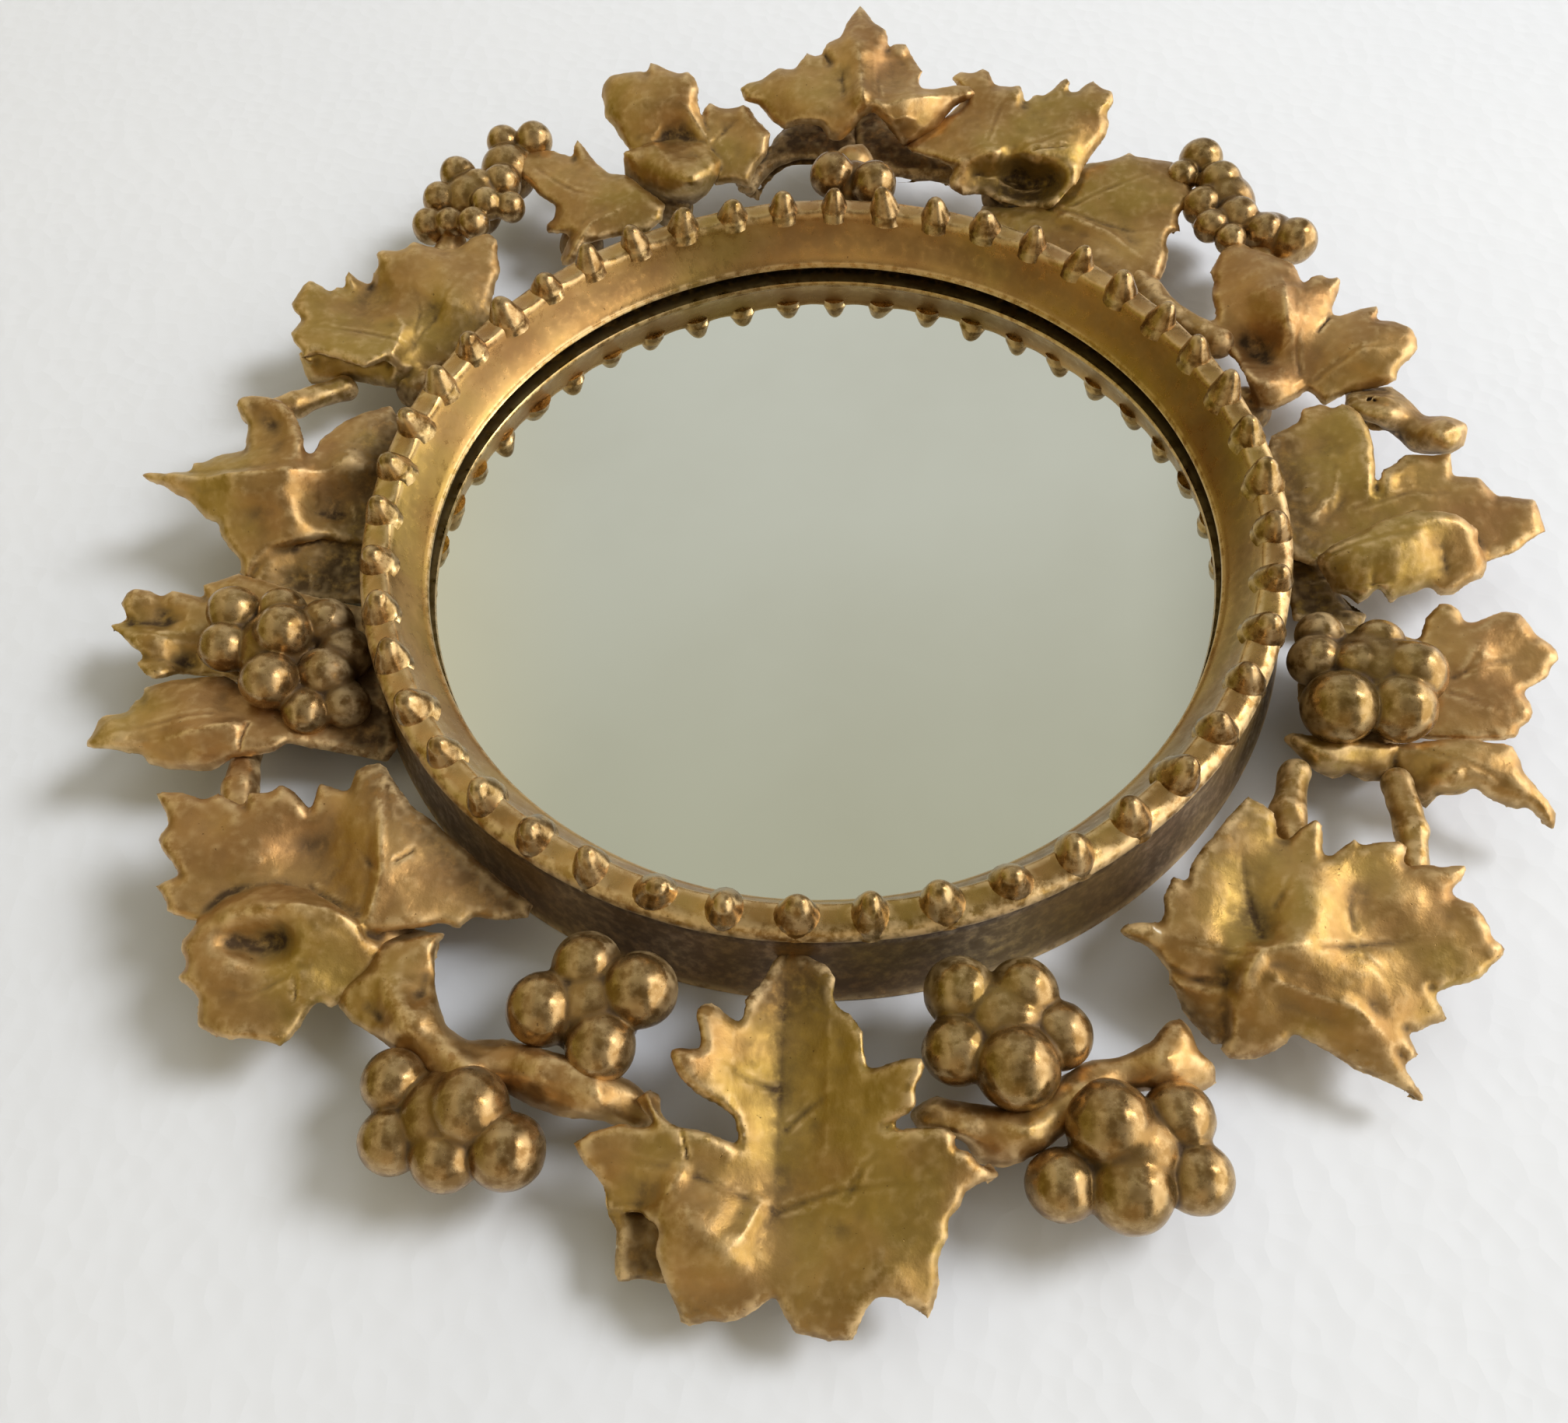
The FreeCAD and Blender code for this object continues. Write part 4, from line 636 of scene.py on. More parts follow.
def node_copy(node, name):
    """A new object with a copy of a CAD node's mesh, its loose triangles merged."""
    piece = bpy.data.objects.new(name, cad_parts[node].data.copy())
    bpy.context.scene.collection.objects.link(piece)
    piece.data.materials.clear()
    alone(piece)
    bpy.ops.object.mode_set(mode="EDIT")
    bpy.ops.mesh.select_all(action="SELECT")
    bpy.ops.mesh.remove_doubles(threshold=0.001 * MM)
    bpy.ops.object.mode_set(mode="OBJECT")
    return piece


def remeshed(piece, voxel, passes):
    """Remesh a piece evenly and soften it, as a rasp and gesso do."""
    apply_modifier(piece, "REMESH", mode="VOXEL", voxel_size=voxel)
    apply_modifier(piece, "SMOOTH", factor=0.5, iterations=passes)


def read_points(mesh):
    """The mesh's vertex places as an array."""
    places = np.empty(len(mesh.vertices) * 3)
    mesh.vertices.foreach_get("co", places)
    return places.reshape(-1, 3)


def read_normals(mesh):
    """The mesh's vertex normals as an array."""
    normals = np.empty(len(mesh.vertices) * 3)
    mesh.vertex_normals.foreach_get("vector", normals)
    return normals.reshape(-1, 3)


def write_points(mesh, places):
    """Put changed vertex places back."""
    mesh.vertices.foreach_set("co", places.ravel())
    mesh.update()


def along_path(places, path):
    """How far each place lies from a path across the mirror, and how far along the path it is, 0 to 1."""
    path = np.array(path, float) * MM
    steps = np.diff(path, axis=0)
    lengths = np.hypot(steps[:, 0], steps[:, 1])
    starts = np.concatenate(([0], np.cumsum(lengths)[:-1]))
    best = np.full(len(places), np.inf)
    share = np.zeros(len(places))
    for start, step, length, before in zip(path, steps, lengths, starts):
        reach = np.clip(((places[:, :2] - start) @ step) / length**2, 0, 1)
        gap = np.linalg.norm(places[:, :2] - start - reach[:, None] * step, axis=1)
        nearer = gap < best
        best[nearer] = gap[nearer]
        share[nearer] = ((before + reach * length) / lengths.sum())[nearer]
    return best, share


def gouge(places, normals, path, depth, width, power=1.5, fade=0.7, through=False):
    """Cut a groove (or raise a ridge) along a path, fading out towards the path's end."""
    gap, share = along_path(places, path)
    fall = np.clip(1 - gap / (width * MM), 0, 1) ** power
    fall *= np.clip((1 - share) / (1 - fade), 0, 1)
    if not through:
        fall *= np.clip(normals[:, 2] * 2, 0, 1)
    places[:, 2] -= depth * MM * fall


def smoothed(values, edges, passes):
    """Values averaged over each vertex's neighbours a number of times."""
    count = np.bincount(edges.ravel(), minlength=len(values)).astype(float)[:, None]
    for _ in range(passes):
        total = np.zeros_like(values)
        for first, last in ((0, 1), (1, 0)):
            for column in range(values.shape[1]):
                total[:, column] += np.bincount(edges[:, first], values[edges[:, last], column],
                    len(values))
        values = (values + total / np.maximum(count, 1)) / 2
    return values


def wear_grime_and_shade(piece, fine=4, broad=40, scale=0.35, low=0):
    """Store where a surface stands proud and wears bright, and where it is hollow, darkened as dirt and painted
    shade; places below the low height and by the ring wall get painted shade too.
    """
    mesh = piece.data
    places = read_points(mesh)
    normals = read_normals(mesh)
    edges = np.empty(len(mesh.edges) * 2, np.int32)
    mesh.edges.foreach_get("vertices", edges)
    edges = edges.reshape(-1, 2)
    near = smoothed(places, edges, fine)
    far = smoothed(near, edges, broad)
    proud = ((places - near) * normals).sum(axis=1) / (0.06 * MM)
    # Broad hollows: dirt, and painted shade where shade falls in recesses
    grime_and_shade = ((far - places) * normals).sum(axis=1) / (scale * MM)
    # Painted shade: below the given height the surface darkens as if in shadow
    grime_and_shade = np.maximum(grime_and_shade, np.clip((low - places[:, 2] / MM) / 5, 0, 0.9))
    if low:
        # Painted shade: below 20 mm and near the ring wall, darkened as if in the ring's shadow
        inside_ring_shadow = RING_SHADOW_RADIUS - np.hypot(places[:, 0], places[:, 1]) / MM
        grime_and_shade = np.maximum(grime_and_shade, np.clip(inside_ring_shadow / 12, 0, 0.75) * (places[:, 2] < 20 * MM))
    for name, values in (("worn_edge", proud), ("hollow", grime_and_shade)):
        layer = mesh.attributes.new(name, "FLOAT", "POINT")
        layer.data.foreach_set("value", np.clip(values, 0, 1).astype(np.float32))


def finish_piece(piece, material, slot, *nodes, body="mirror"):
    """Give a piece its material, its body and the CAD nodes that it stands for."""
    alone(piece)
    bpy.ops.object.shade_smooth_by_angle(angle=math.radians(50))
    piece.data.materials.append(material)
    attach(piece, body)
    if nodes:
        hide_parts(*nodes)
    return piece


class Nodes:
    """A short way to write a node tree: make nodes, link them, and read sockets by name."""

    def __init__(self, tree):
        self.tree = tree

    def add(self, kind, values=None, **settings):
        node = self.tree.nodes.new(f"ShaderNode{kind}")
        for key, value in settings.items():
            setattr(node, key, value)
        for key, value in (values or {}).items():
            if isinstance(value, bpy.types.NodeSocket):
                self.tree.links.new(value, node.inputs[key])
            else:
                node.inputs[key].default_value = value
        return node

    def noise(self, vector, scale, detail=3, roughness=0.55, distortion=0):
        values = {"Vector": vector, "Scale": scale, "Detail": detail, "Roughness": roughness,
                  "Distortion": distortion}
        return self.add("TexNoise", values).outputs["Fac"]

    def ramp(self, value, low, high):
        values = {"Value": value, "From Min": low, "From Max": high}
        return self.add("MapRange", values, interpolation_type="SMOOTHSTEP").outputs["Result"]

    def math(self, operation, first, second):
        return self.add("Math", {0: first, 1: second}, operation=operation).outputs["Value"]

    def mix(self, share, first, second):
        node = self.add("Mix", data_type="RGBA")
        for key, value in ((0, share), (6, first), (7, second)):
            if isinstance(value, bpy.types.NodeSocket):
                self.tree.links.new(value, node.inputs[key])
            else:
                node.inputs[key].default_value = value
        return node.outputs[2]


def gilding_group():
    """Worn gilding: bright rubbed edges, hollows darkened by dirt and painted shade, olive and rose tints, specks
    and gesso chips.
    """
    tree = bpy.data.node_groups.new("worn_gilding", "ShaderNodeTree")
    for name, default in (("Gloss", 0.35), ("Olive", 0.4), ("Rose", 0.3), ("DirtAndShade", 0.7), ("Shade", 0.1)):
        socket = tree.interface.new_socket(name, in_out="INPUT", socket_type="NodeSocketFloat")
        socket.default_value = default
    for name, kind in (("Color", "Color"), ("Roughness", "Float"), ("Metallic", "Float"), ("Height",
        "Float")):
        tree.interface.new_socket(name, in_out="OUTPUT", socket_type=f"NodeSocket{kind}")
    n = Nodes(tree)
    where = n.add("TexCoord").outputs["Object"]
    entry = tree.nodes.new("NodeGroupInput")
    leave = tree.nodes.new("NodeGroupOutput")
    worn = n.add("Attribute", attribute_name="worn_edge").outputs["Fac"]
    hollow = n.add("Attribute", attribute_name="hollow").outputs["Fac"]
    clouds = n.noise(where, 55, 4)
    patches = n.noise(where, 28, 3, 0.6)
    brush = n.noise(where, 420, 4, 0.6)
    grit = n.noise(where, 2200, 3)
    gold = n.mix(n.ramp(clouds, 0.3, 0.7), (0.34, 0.195, 0.062, 1), (0.58, 0.36, 0.14, 1))
    olive = n.math("MULTIPLY", n.ramp(patches, 0.48, 0.66), entry.outputs["Olive"])
    gold = n.mix(olive, gold, (0.30, 0.225, 0.025, 1))
    rose = n.math("MULTIPLY", n.ramp(patches, 0.52, 0.36), entry.outputs["Rose"])
    gold = n.mix(rose, gold, (0.42, 0.225, 0.095, 1))
    gold = n.mix(entry.outputs["Shade"], gold, (0.10, 0.055, 0.015, 1))
    # Dark brown in hollows: dirt, and painted shade in recesses, low places and beside the ring
    dirt_and_shade = n.math("MULTIPLY", n.math("MULTIPLY", hollow, entry.outputs["DirtAndShade"]), n.ramp(brush, 0.15, 0.6))
    gold = n.mix(dirt_and_shade, gold, (0.055, 0.030, 0.012, 1))
    rubbed = n.math("MULTIPLY", worn, n.ramp(brush, 0.35, 0.6))
    gold = n.mix(n.math("MULTIPLY", rubbed, 0.75), gold, (0.82, 0.60, 0.32, 1))
    chips = n.math("MULTIPLY", n.ramp(worn, 0.55, 0.95), n.ramp(n.noise(where, 160, 3), 0.70, 0.76))
    gold = n.mix(chips, gold, (0.74, 0.70, 0.62, 1))
    specks = n.ramp(n.noise(where, 900, 2, 0.7), 0.70, 0.78)
    gold = n.mix(n.math("MULTIPLY", specks, 0.7), gold, (0.10, 0.055, 0.02, 1))
    tree.links.new(gold, leave.inputs["Color"])
    rough = n.math("ADD", entry.outputs["Gloss"], n.math("MULTIPLY", n.ramp(brush, 0.3, 0.8), 0.16))
    rough = n.math("ADD", rough, n.math("MULTIPLY", dirt_and_shade, 0.3))
    rough = n.math("ADD", rough, n.math("MULTIPLY", chips, 0.3))
    tree.links.new(rough, leave.inputs["Roughness"])
    metal = n.math("SUBTRACT", 0.88, n.math("MULTIPLY", dirt_and_shade, 0.5))
    metal = n.math("SUBTRACT", metal, n.math("MULTIPLY", chips, 0.85))
    tree.links.new(metal, leave.inputs["Metallic"])
    height = n.math("ADD", n.math("MULTIPLY", brush, 0.6), n.math("MULTIPLY", grit, 0.15))
    height = n.math("SUBTRACT", height, n.math("MULTIPLY", specks, 0.3))
    tree.links.new(height, leave.inputs["Height"])
    return tree


def gilded(name, group, gloss, olive, rose, dirt_and_shade, shade, bump):
    """A gilded finish with its own gloss and tints."""
    material = bpy.data.materials.new(name)
    material.use_nodes = True
    n = Nodes(material.node_tree)
    shader = material.node_tree.nodes["Principled BSDF"]
    gilding = n.add("Group", node_tree=group)
    for key, value in (("Gloss", gloss), ("Olive", olive), ("Rose", rose), ("DirtAndShade", dirt_and_shade), ("Shade",
        shade)):
        gilding.inputs[key].default_value = value
    grain = n.add("Bump", {"Strength": bump, "Distance": 0.4 * MM, "Height": gilding.outputs["Height"]})
    links = material.node_tree.links
    links.new(gilding.outputs["Color"], shader.inputs["Base Color"])
    links.new(gilding.outputs["Roughness"], shader.inputs["Roughness"])
    links.new(gilding.outputs["Metallic"], shader.inputs["Metallic"])
    links.new(grain.outputs["Normal"], shader.inputs["Normal"])
    return material


def silvering():
    """Old silvered glass, faintly green and nearly flawless."""
    material = bpy.data.materials.new("silvered_glass")
    material.use_nodes = True
    n = Nodes(material.node_tree)
    shader = material.node_tree.nodes["Principled BSDF"]
    where = n.add("TexCoord").outputs["Object"]
    haze = n.ramp(n.noise(where, 14, 4), 0.3, 0.8)
    tint = n.mix(haze, (0.86, 0.88, 0.82, 1), (0.80, 0.81, 0.74, 1))
    links = material.node_tree.links
    links.new(tint, shader.inputs["Base Color"])
    links.new(n.math("MULTIPLY", haze, 0.02), shader.inputs["Roughness"])
    shader.inputs["Metallic"].default_value = 1
    return material


def board_wood():
    """Bare aged softwood, its grain running up the mirror."""
    material = bpy.data.materials.new("board_softwood")
    material.use_nodes = True
    n = Nodes(material.node_tree)
    shader = material.node_tree.nodes["Principled BSDF"]
    where = n.add("TexCoord").outputs["Object"]
    stretched = n.add("Mapping", {"Vector": where, "Scale": (1, 0.06, 1)}).outputs["Vector"]
    grain = n.noise(stretched, 260, 5, 0.6, 0.4)
    stain = n.noise(where, 22, 3)
    wood = n.mix(n.ramp(grain, 0.3, 0.7), (0.20, 0.125, 0.065, 1), (0.40, 0.285, 0.165, 1))
    wood = n.mix(n.math("MULTIPLY", n.ramp(stain, 0.5, 0.75), 0.6), wood, (0.11, 0.075, 0.045, 1))
    links = material.node_tree.links
    links.new(wood, shader.inputs["Base Color"])
    links.new(n.ramp(grain, 1.6, -0.6), shader.inputs["Roughness"])
    grooves = n.add("Bump", {"Strength": 0.4, "Distance": 0.3 * MM, "Height": grain})
    links.new(grooves.outputs["Normal"], shader.inputs["Normal"])
    return material


def old_iron():
    """Dull iron with brown rust in patches."""
    material = bpy.data.materials.new("old_iron")
    material.use_nodes = True
    n = Nodes(material.node_tree)
    shader = material.node_tree.nodes["Principled BSDF"]
    where = n.add("TexCoord").outputs["Object"]
    rust = n.ramp(n.noise(where, 320, 4, 0.65), 0.45, 0.65)
    pits = n.noise(where, 1500, 3)
    links = material.node_tree.links
    links.new(n.mix(rust, (0.16, 0.155, 0.15, 1), (0.13, 0.06, 0.03, 1)), shader.inputs["Base Color"])
    links.new(n.math("ADD", 0.38, n.math("MULTIPLY", rust, 0.35)), shader.inputs["Roughness"])
    links.new(n.math("SUBTRACT", 0.95, n.math("MULTIPLY", rust, 0.6)), shader.inputs["Metallic"])
    pitted = n.add("Bump", {"Strength": 0.3, "Distance": 0.2 * MM, "Height": pits})
    links.new(pitted.outputs["Normal"], shader.inputs["Normal"])
    return material


def uneven(piece, strength, size, name):
    """Hand-cut unevenness: a cloud pattern pushes the surface in and out."""
    clouds = bpy.data.textures.new(name, "CLOUDS")
    clouds.noise_scale = size * MM
    clouds.noise_depth = 2
    apply_modifier(piece, "DISPLACE", texture=clouds, strength=strength * MM, mid_level=0.5)


def camera_axes():
    """The camera's right, up and back directions."""
    back = -CAMERA_FORWARD.normalized()
    right = (CAMERA_RIGHT - CAMERA_RIGHT.dot(back) * back).normalized()
    return right, back.cross(right), back


def seen_at(points, heights):
    """Places in millimetres at given heights on the sight lines through points of the photograph."""
    right, up, back = (np.array(axis) for axis in camera_axes())
    focal = LENS_MM / SENSOR_MM * PHOTO_WIDTH
    across = (points[:, 0] - PHOTO_WIDTH / 2) / focal
    down = (points[:, 1] - PHOTO_HEIGHT / 2) / focal
    ways = np.outer(across, right) - np.outer(down, up) - back
    start = np.array(CAMERA_PLACE) / MM
    return start + ways * ((heights - start[2]) / ways[:, 2])[:, None]


def sheet_heights(points, knots):
    """Heights of a springy sheet that bends through its knots."""
    knots = np.array(knots, float)
    count = len(knots)

    def pull(first, second):
        gap = ((first[:, None, :] - second[None, :, :]) ** 2).sum(axis=2) / 100**2
        return gap * np.log(gap + 1e-9)

    system = np.zeros((count + 3, count + 3))
    system[:count, :count] = pull(knots[:, :2], knots[:, :2]) + SHEET_EASE * np.eye(count)
    system[:count, count:] = np.column_stack((np.ones(count), knots[:, :2] / 1000))
    system[count:, :count] = system[:count, count:].T
    weights = np.linalg.solve(system, np.concatenate((knots[:, 2], np.zeros(3))))
    tilt = np.column_stack((np.ones(len(points)), points / 1000)) @ weights[count:]
    return pull(points, knots[:, :2]) @ weights[:count] + tilt


def within_outline(points, outline):
    """Which points lie inside a closed outline, and the outline's nearest place to each."""
    within = np.zeros(len(points), bool)
    best = np.full(len(points), np.inf)
    nearest = points.copy()
    for start, end in zip(outline, np.roll(outline, -1, axis=0)):
        step = end - start
        crosses = (start[1] > points[:, 1]) != (end[1] > points[:, 1])
        if step[1]:
            within ^= crosses & (points[:, 0] < start[0] + step[0] * (points[:, 1] - start[1]) / step[1])
        share = np.clip(((points - start) @ step) / (step @ step), 0, 1)
        place = start + share[:, None] * step
        gap = np.linalg.norm(points - place, axis=1)
        closer = gap < best
        best[closer] = gap[closer]
        nearest[closer] = place[closer]
    return within, nearest


def carved_sheet(outline, knots, thickness, roll):
    """A sheet cut to its outline, bent through its knots, its edges rolled down, and given thickness."""
    outline = np.array(outline, float)
    low = outline.min(axis=0) - SHEET_STEP
    size = outline.max(axis=0) + SHEET_STEP - low
    counts = np.ceil(size / SHEET_STEP).astype(int).tolist()
    bpy.ops.object.select_all(action="DESELECT")
    bpy.ops.mesh.primitive_grid_add(x_subdivisions=counts[0], y_subdivisions=counts[1], size=2)
    piece = bpy.context.active_object
    mesh = piece.data
    shares = (read_points(mesh)[:, :2] + 1) / 2
    points = low + np.column_stack((shares[:, 0], 1 - shares[:, 1])) * size
    within, nearest = within_outline(points, outline)
    inwards = np.linalg.norm(points - nearest, axis=1) * within
    points[~within] = nearest[~within]
    heights = sheet_heights(points, knots) - roll * np.clip(1 - inwards / EDGE_WIDTH, 0, 1) ** 2
    write_points(mesh, seen_at(points, heights) * MM)
    corners = np.empty(len(mesh.polygons) * 4, np.int32)
    mesh.polygons.foreach_get("vertices", corners)
    waste = ~within[corners.reshape(-1, 4)].any(axis=1)
    bpy.ops.object.mode_set(mode="EDIT")
    bpy.ops.mesh.select_mode(type="FACE")
    bpy.ops.mesh.select_all(action="DESELECT")
    bpy.ops.object.mode_set(mode="OBJECT")
    mesh.polygons.foreach_set("select", waste)
    bpy.ops.object.mode_set(mode="EDIT")
    bpy.ops.mesh.delete(type="FACE")
    bpy.ops.mesh.select_mode(type="VERT")
    bpy.ops.object.mode_set(mode="OBJECT")
    apply_modifier(piece, "SOLIDIFY", thickness=thickness, offset=-1)
    return piece


def joined(pieces, name):
    """One object from several."""
    bpy.ops.object.select_all(action="DESELECT")
    for piece in pieces:
        piece.select_set(True)
    bpy.context.view_layer.objects.active = pieces[0]
    bpy.ops.object.join()
    bpy.ops.object.transform_apply(location=True, rotation=True, scale=True)
    pieces[0].name = name
    return pieces[0]


def cut_lines(piece, sheets):
    """Cut the carved lines of a piece's sheets into it."""
    places = read_points(piece.data)
    normals = read_normals(piece.data)
    for _, knots, lines in sheets:
        for kind, path in lines:
            points = np.array(path, float)
            gouge(places, normals, seen_at(points, sheet_heights(points, knots))[:, :2], **LEAF_LINES[kind])
    places[:, 2] = np.maximum(places[:, 2], 0.2 * MM)
    write_points(piece.data, places)


def carve_leaf(node, material):
    """A leaf of one or more curling sheets, softened as if gessoed, with its carved lines."""
    root, sheets = LEAVES[node]
    parts = [carved_sheet(outline, knots, LEAF_THICKNESS, EDGE_ROLL) for outline, knots, _ in sheets]
    bpy.ops.mesh.primitive_uv_sphere_add(segments=24, ring_count=16, radius=6 * MM,
        location=Vector(root) * MM)
    piece = joined(parts + [bpy.context.active_object], f"carved_{node}")
    remeshed(piece, LEAF_VOXEL, 5)
    uneven(piece, 0.9, 13, f"{node}_swells")
    uneven(piece, 0.5, 5, f"{node}_tool_marks")
    apply_modifier(piece, "SMOOTH", factor=0.5, iterations=3)
    cut_lines(piece, sheets)
    wear_grime_and_shade(piece, low=SHADE_HEIGHTS.get(node, LEAF_SHADE_HEIGHT))
    return finish_piece(piece, material, "gilded_wood", node)


def carve_stem(node, material):
    """A gnarled stem, from its sheets or rounded from its solid."""
    sheets = STEM_SHEETS.get(node, ())
    if sheets:
        parts = [carved_sheet(outline, knots, STEM_THICKNESS, STEM_ROLL) for outline, knots, _ in sheets]
        piece = joined(parts, f"carved_{node}")
        remeshed(piece, STEM_VOXEL, 12)
        cut_lines(piece, sheets)
    else:
        piece = node_copy(node, f"carved_{node}")
        remeshed(piece, STEM_VOXEL, 14)
        apply_modifier(piece, "DISPLACE", strength=STEM_FULLNESS * MM, mid_level=0)
        remeshed(piece, STEM_VOXEL, 4)
    uneven(piece, 1.6, 12, f"{node}_knots")
    uneven(piece, 0.5, 4, f"{node}_tool_marks")
    apply_modifier(piece, "SMOOTH", factor=0.5, iterations=4)
    wear_grime_and_shade(piece, low=SHADE_HEIGHTS.get(node, LEAF_SHADE_HEIGHT))
    return finish_piece(piece, material, "gilded_wood", node)


def carve_berries(node, material):
    """A cluster of round berries cut from one block."""
    balls = []
    for across, down, height, radius in BERRIES[node]:
        place = Vector(seen_at(np.array([(across, down)], float), np.array([height]))[0]) * MM
        depth = (CAMERA_PLACE - place).dot(camera_axes()[2])
        radius *= depth * SENSOR_MM / (LENS_MM * PHOTO_WIDTH)
        bpy.ops.mesh.primitive_uv_sphere_add(segments=40, ring_count=24, radius=radius, location=place)
        balls.append(bpy.context.active_object)
    piece = joined(balls, f"carved_{node}")
    remeshed(piece, BERRY_VOXEL, 18)
    apply_modifier(piece, "DISPLACE", strength=0.2 * MM, mid_level=0)
    uneven(piece, 0.5, 7, f"{node}_tool_marks")
    wear_grime_and_shade(piece, scale=0.28, low=BERRY_SHADE_HEIGHT)
    return finish_piece(piece, material, "gilded_wood", node)


def lathe(name, outline, steps):
    """A closed ring turned from an outline of radius and height, in millimetres."""
    bpy.ops.object.select_all(action="DESELECT")
    bpy.ops.mesh.primitive_circle_add(vertices=len(outline), radius=MM)
    piece = bpy.context.active_object
    piece.name = name
    for vertex, (radius, height) in zip(piece.data.vertices, outline):
        vertex.co = Vector((radius, 0, height)) * MM
    bpy.ops.object.mode_set(mode="EDIT")
    bpy.ops.mesh.select_all(action="SELECT")
    bpy.ops.mesh.spin(steps=steps, angle=math.tau, center=(0, 0, 0), axis=(0, 0, 1))
    bpy.ops.mesh.select_all(action="SELECT")
    bpy.ops.mesh.remove_doubles(threshold=0.01 * MM)
    bpy.ops.mesh.normals_make_consistent(inside=False)
    bpy.ops.object.mode_set(mode="OBJECT")
    return piece


def ring_outline():
    """The ring's section: seat, sight lip, cove, rim, wall and rebate."""
    outline = [(SIGHT_RADIUS, SEAT_HEIGHT), (SIGHT_RADIUS - 0.1, 12.0), (SIGHT_RADIUS + 0.2, 12.5)]
    for step in range(11):
        share = step / 10
        outline.append((85.5 + 4.4 * share + 0.5 * math.sin(math.pi * share), 12.7 + 10.2 * share))
    outline += [(90.2, 23.4), (90.7, 23.8), (91.6, 24.0), (92.6, 24.0), (93.8, 23.8), (94.8, 23.4),
                (95.7, 22.7), (96.2, 21.9), (96.35, 21.2), (96.2, 20.4), (95.9, 19.9)]
    for step in range(1, 9):
        share = step / 8
        outline.append((96.0 + 3.9 * share**1.4, 19.9 * (1 - share) + 0.3 * share))
    outline += [(99.6, 0), (REBATE_RADIUS + 0.3, 0), (REBATE_RADIUS, 0.3), (REBATE_RADIUS, 4),
                (REBATE_RADIUS, 8), (REBATE_RADIUS, SEAT_HEIGHT), (88.5, SEAT_HEIGHT), (86.5, SEAT_HEIGHT)]
    return outline


def ring_frame(material):
    """The moulded ring, its rim dipping a little between the beads, with the hanger's recess behind."""
    piece = lathe("moulded_ring", ring_outline(), BEAD_COUNT * 8)
    mesh = piece.data
    places = read_points(mesh)
    radius = np.hypot(places[:, 0], places[:, 1])
    angle = np.arctan2(places[:, 1], places[:, 0])
    phase = np.cos((angle + math.pi / 2) * BEAD_COUNT)
    on_rim = np.exp(-((radius / MM - RIM_RADIUS) / 3.0) ** 2) * (places[:, 2] > 20 * MM)
    places[:, 2] += 0.45 * MM * on_rim * (phase - 0.6)
    wobble = np.sin(angle * 5 + 0.7) * 0.18 + np.sin(angle * 11 + 2.1) * 0.12
    above = np.clip(places[:, 2] / (RING_HEIGHT * MM), 0, 1)
    places[:, :2] *= (1 + wobble * MM * above / radius)[:, None]
    write_points(mesh, places)
    recess_low, recess_high = Vector((-11.6, 80, -5)) * MM, Vector((11.6, 98.5, 4.6)) * MM
    bpy.ops.mesh.primitive_cube_add(size=1, location=(recess_low + recess_high) / 2)
    cutter = bpy.context.active_object
    cutter.scale = recess_high - recess_low
    apply_modifier(piece, "BOOLEAN", operation="DIFFERENCE", object=cutter, solver="EXACT")
    bpy.data.objects.remove(cutter)
    # Hollows of the ring darken with dirt and painted shade
    wear_grime_and_shade(piece, fine=2, broad=24, scale=0.6)
    # The wall's stain is added to the hollow mask, which already holds dirt and painted shade
    places = read_points(mesh)
    outside = np.hypot(places[:, 0], places[:, 1]) > STAIN_RADIUS * MM
    stain = np.clip((STAIN_HEIGHT - places[:, 2] / MM) / 2.5, 0, 0.75) * outside
    layer = mesh.attributes["hollow"]
    dirt_and_shade = np.empty(len(places), np.float32)
    layer.data.foreach_get("value", dirt_and_shade)
    layer.data.foreach_set("value", np.maximum(dirt_and_shade, stain).astype(np.float32))
    return finish_piece(piece, material, "gilded_wood", "ring_frame")


def bead_pattern():
    """One domed bead with a flared foot that is sunk into the rim."""
    bpy.ops.object.select_all(action="DESELECT")
    bpy.ops.mesh.primitive_uv_sphere_add(segments=20, ring_count=14, radius=BEAD_RADIUS * MM)
    bead = bpy.context.active_object
    for vertex in bead.data.vertices:
        up = vertex.co.z / (BEAD_RADIUS * MM)
        if up > 0:
            vertex.co.xy *= 1 + BEAD_FLARE * (1 - up) ** 3 - BEAD_WAIST * math.sin(math.pi * up)
            vertex.co.z = up * BEAD_HEIGHT * MM
        else:
            flat = vertex.co.xy.length
            if flat > 0.1 * MM:
                vertex.co.xy *= (BEAD_RADIUS * (1 + BEAD_FLARE) + BEAD_SKIRT * up**2) * MM / flat
            vertex.co.z = BEAD_SINK * MM * up
    return bead


